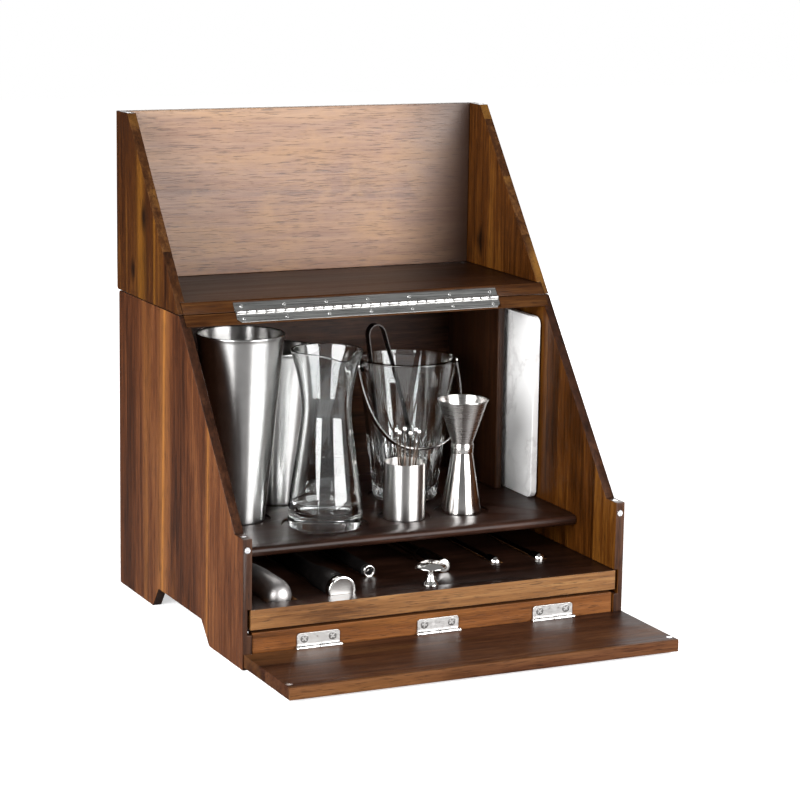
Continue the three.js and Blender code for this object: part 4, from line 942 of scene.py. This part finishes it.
def make_knob():
    """Turned pull knob of the tray."""
    height, foot, neck, head = 24.2, 8.2, 3.5, 15.5
    profile = [(0, 0), (foot - 0.4, 0)] + arc(foot - 0.5, 0.5, 0.5, -70, 60, 4)
    flare = curve_points([(foot - 0.4, 1.05), (foot * 0.86, 2.2), (foot * 0.66, 4.6), (neck * 1.2, 7.6),
                          (neck, 10.2), (neck, 14.0), (neck * 1.3, 15.2), (head * 0.5, 15.9),
                          (head * 0.9, 16.8)], 5)
    profile += [(p.x, p.y) for p in flare]
    profile += arc(head - 0.7, 17.9, 0.7, -70, 70, 5)
    crown = curve_points([(head - 0.9, 18.6), (head * 0.82, 20.6), (head * 0.6, 22.5), (head * 0.3, 23.8),
                          (0, height)], 4)
    profile += [(max(0, p.x), p.y) for p in crown]
    obj = lathe("tray_knob_turned", profile, row(0, 19, 57.7))
    finish_piece(obj, "tray", "knob", "tray_knob", sharp=45)


make_tools()
make_opener()
make_knob()


# Hinges and screws
# Slope of the side panels' front edges
SLOPE = Vector((0, 146.64, 183.0)).normalized()
OUTWARD = Vector((0, -SLOPE.z, SLOPE.y))
HINGE_TURN = Matrix((Vector((1, 0, 0)), SLOPE, OUTWARD)).transposed().to_4x4()
RIGHTWARD = Matrix.Rotation(math.radians(90), 4, "Y")
TO_FRONT = Matrix.Rotation(math.radians(90), 4, "X")
# Butt hinges: places across, their pin, and the screws' distance from the middle
BUTT_PLACES = (-125.5, 0, 125.5)
PIN = middle("flap_hinge_pin_2")
SCREW_SPREAD = 14.5


def plate(name, corners, low, high, turn, place, edge):
    """Flat plate from corners in mm, between two levels of its own z, its edges eased."""
    obj = skin(name, [[(x, y, z) for x, y in corners] for z in (low, high)], turn, place)
    soften(obj, edge)
    return obj


def screw(name, radius, turn, place, body, look, height, spin):
    """Countersunk head with a cross recess, facing its own +z."""
    profile = [(0, -0.3), (radius * 0.96, -0.3), (radius, -0.1), (radius * 0.97, height * 0.3)]
    profile += [(radius * t, height * (0.42 + 0.58 * math.sqrt(1 - t * t))) for t in
                (0.88, 0.78, 0.7, 0.64, 0.58, 0.5, 0.42, 0.34, 0.27, 0.22, 0.16, 0.08)]
    profile += [(0, height)]

    def recess(p):
        arm = min(abs(p.x), abs(p.y)) < radius * 0.17 and math.hypot(p.x, p.y) <= radius * 0.66
        return Vector((p.x, p.y, p.z - radius * 0.3)) if arm and p.z >= 0 else p

    obj = lathe(name, profile, (0, 0, 0), steps=48, warp=recess)
    obj.data.transform(Matrix.Translation(Vector(place) * MM) @ turn @ Matrix.Rotation(spin, 4, "Z"))
    finish_piece(obj, body, look, sharp=30)


def make_long_hinge():
    """Two leaves with seven screws each, their knuckles in turn."""
    rng = random.Random(5)
    half, count, reach, inner, gap = 144, 28, 11.3, 1.0, 0.18
    screw_count, screw_pitch, screw_reach, sunk = 7, 45.5, 7, 0.45
    pitch = 2 * half / count
    length = pitch - 2 * gap
    profile = [(0, 0), (1.5, 0), (1.95, 0.12), (2.1, 0.4), (2.1, length - 0.4), (1.95, length - 0.12),
               (1.5, length), (0, length)]
    place = middle("long_hinge_pin")
    for way, first, body, node, clip in ((-1, 0, "cabinet", "long_hinge_lower_leaf", 4),
                                         (1, 1, "lid", "long_hinge_upper_leaf", 0.6)):
        corners = [(-half, way * inner), (half, way * inner), (half, way * (reach - clip)),
                   (half - clip, way * reach), (clip - half, way * reach), (-half, way * (reach - clip))]
        leaf = plate(node + "_plate", corners, -1.6, -0.42, HINGE_TURN, place, 0.2)
        finish_piece(leaf, body, "leaf", node)
        for index in range(first, count, 2):
            start = (-half + index * pitch + gap, *place[1:])
            knuckle = lathe(f"long_knuckle_{index + 1}", profile, start, steps=32, turn=RIGHTWARD)
            # Pairs of knuckles take the bright and the dim copy in turn: painted highlight dashes along the
            # barrel
            look = "knuckle" if index % 4 in (1, 2) else "knuckle_painted_shade"
            finish_piece(knuckle, body, look)
        for index in range(screw_count):
            x = (index - screw_count // 2) * screw_pitch
            spot = place + Vector((x, 0, 0)) + SLOPE * (way * screw_reach) - OUTWARD * sunk
            screw(f"{node}_screw_{index + 1}", 1.95, HINGE_TURN, spot, body, "screw_bright", 0.4,
                  rng.uniform(0, 1.5))


def rounded(half_x, low, high, radius):
    """Corners of a plate with its two far corners rounded."""
    steps = 6
    way = 1 if high > low else -1
    points = [(-half_x, low), (half_x, low)]
    for side, start in ((1, 0), (-1, 1)):
        for k in range(steps + 1):
            angle = math.pi / 2 * (start + k / steps)
            points.append((side * (half_x - radius) + radius * math.cos(angle),
                           high + way * radius * (math.sin(angle) - 1)))
    return points


def make_butt_hinges():
    """Three hinges, each with a leaf, a knuckle and two screws on the rail and on the flap."""
    rng = random.Random(11)
    half, gap, length, ease = 22, 0.2, 21.7, 0.25
    profile = [(1.15, 0), (1.9, 0), (2.4, 0.15), (2.5, 0.5), (2.5, length - 0.5), (2.4, length - 0.15),
               (1.9, length), (1.15, length)]

    def screws(kind, number, x, y, z, radius, turn, body, height):
        for side, word in SIDES:
            place = (x + side * SCREW_SPREAD, y, z)
            screw(f"{kind}_screw_{number}_{word}", radius, turn, place, body, "screw", height,
                  rng.uniform(0, 1.5))

    for number, x in enumerate(BUTT_PLACES, 1):
        place = (x, *PIN[1:])
        wing = plate(f"rail_wing_{number}", rounded(half, 0.4, 14, 3), -2.58, -1.4, TO_FRONT, place, ease)
        finish_piece(wing, "cabinet", "butt_leaf", f"rail_leaf_{number}")
        lower = plate(f"flap_wing_{number}", rounded(21.9, -0.4, -11, 0.5), 0.62, 1.8, TO_FRONT, place, ease)
        finish_piece(lower, "flap", "butt_leaf", f"flap_leaf_{number}")
        for left, body in ((x - half, "cabinet"), (x + gap, "flap")):
            knuckle = lathe(f"butt_knuckle_{number}_{body}", profile, (left, *PIN[1:]), steps=40,
                            turn=RIGHTWARD)
            finish_piece(knuckle, body, "butt_knuckle")
        screws("rail", number, x, FRONT + 0.62, 24, 4.1, TO_FRONT, "cabinet", 0.35)
    for number, x in enumerate(BUTT_PLACES, 1):
        screws("flap", number, x, PIN[1] - 0.62, PIN[2] - 7, 3.5, TO_REAR, "flap", 0.2)


make_long_hinge()
make_butt_hinges()


# Floor and light
# World brightness as light and in metal's reflections; the camera and glass see 1
AMBIENT = 0.07
WORLD_MIRRORED = 0.2
# Floor: its glow near the object for the camera, where it turns white (m), and its grey in metal
FLOOR_LIFT = 0.6
FLOOR_FADE = (0.45, 1.3)
FLOOR_MIRRORED = 0.3
FLOOR_HALF = 6
# Name, azimuth in degrees, distance and height in m, size in m, brightness
LAMPS = (
    ("right_box", 27, 1.8, 0.66, (1.45, 1.3), 12.0),
    ("left_box", -68, 1.8, 0.66, (1.6, 1.3), 12.0),
    ("back_fill", 150, 2.2, 0.8, (1.4, 1.2), 2.5),
)
# Height that the lamps aim at, m
AIM_HEIGHT = 0.3


def make_floor():
    """Pale floor that keeps the contact shadow and turns white further off."""
    bm = bmesh.new()
    corners = [(x * FLOOR_HALF, y * FLOOR_HALF, 0) for x, y in ((-1, -1), (1, -1), (1, 1), (-1, 1))]
    bm.faces.new([bm.verts.new(corner) for corner in corners])
    floor = new_object("floor", bm)
    n = Nodes("pale_floor")
    path = n.add("LightPath").outputs
    reach = n.add("VectorMath", {0: n.place()}, operation="LENGTH").outputs["Value"]
    colour = n.mix(path["Is Glossy Ray"], (0.9, 0.9, 0.9, 1), (*[FLOOR_MIRRORED] * 3, 1))
    seen = n.math("MAXIMUM", path["Is Camera Ray"], path["Is Transmission Ray"])
    glow = n.math("MULTIPLY", seen, n.span(reach, *FLOOR_FADE, FLOOR_LIFT, 1.0))
    n.set(Base_Color=colour, Roughness=0.8, Specular_IOR_Level=0.0, Emission_Color=(1, 1, 1, 1),
          Emission_Strength=glow)
    floor.data.materials.append(n.material)


def make_world():
    """White for the camera and through glass, dimmer in mirrors and as light."""
    world = bpy.data.worlds.new("studio")
    world.use_nodes = True
    n = Nodes("studio", world.node_tree)
    background = n.tree.nodes["Background"]
    path = n.add("LightPath").outputs
    seen = n.math("MAXIMUM", path["Is Camera Ray"], path["Is Transmission Ray"])
    mirrored = n.span(path["Is Glossy Ray"], 0, 1, AMBIENT, WORLD_MIRRORED)
    n.put(background.inputs["Strength"], n.math("MAXIMUM", seen, mirrored))
    n.put(background.inputs["Color"], (1, 1, 1, 1))
    scene.world = world


def softbox(name, azimuth, distance, height, size, radiance):
    """Upright lit panel that faces the object; radiance is its brightness."""
    turn = math.radians(azimuth)
    place = Vector((distance * math.sin(turn), -distance * math.cos(turn), height))
    data = bpy.data.lights.new(name, "AREA")
    data.shape = "RECTANGLE"
    data.size, data.size_y = size
    data.energy = radiance * math.pi * size[0] * size[1]
    light = bpy.data.objects.new(name, data)
    scene.collection.objects.link(light)
    light.location = place
    light.rotation_euler = (Vector((0, 0, AIM_HEIGHT)) - place).to_track_quat("-Z", "Y").to_euler()


make_floor()
make_world()
for lamp in LAMPS:
    softbox(*lamp)
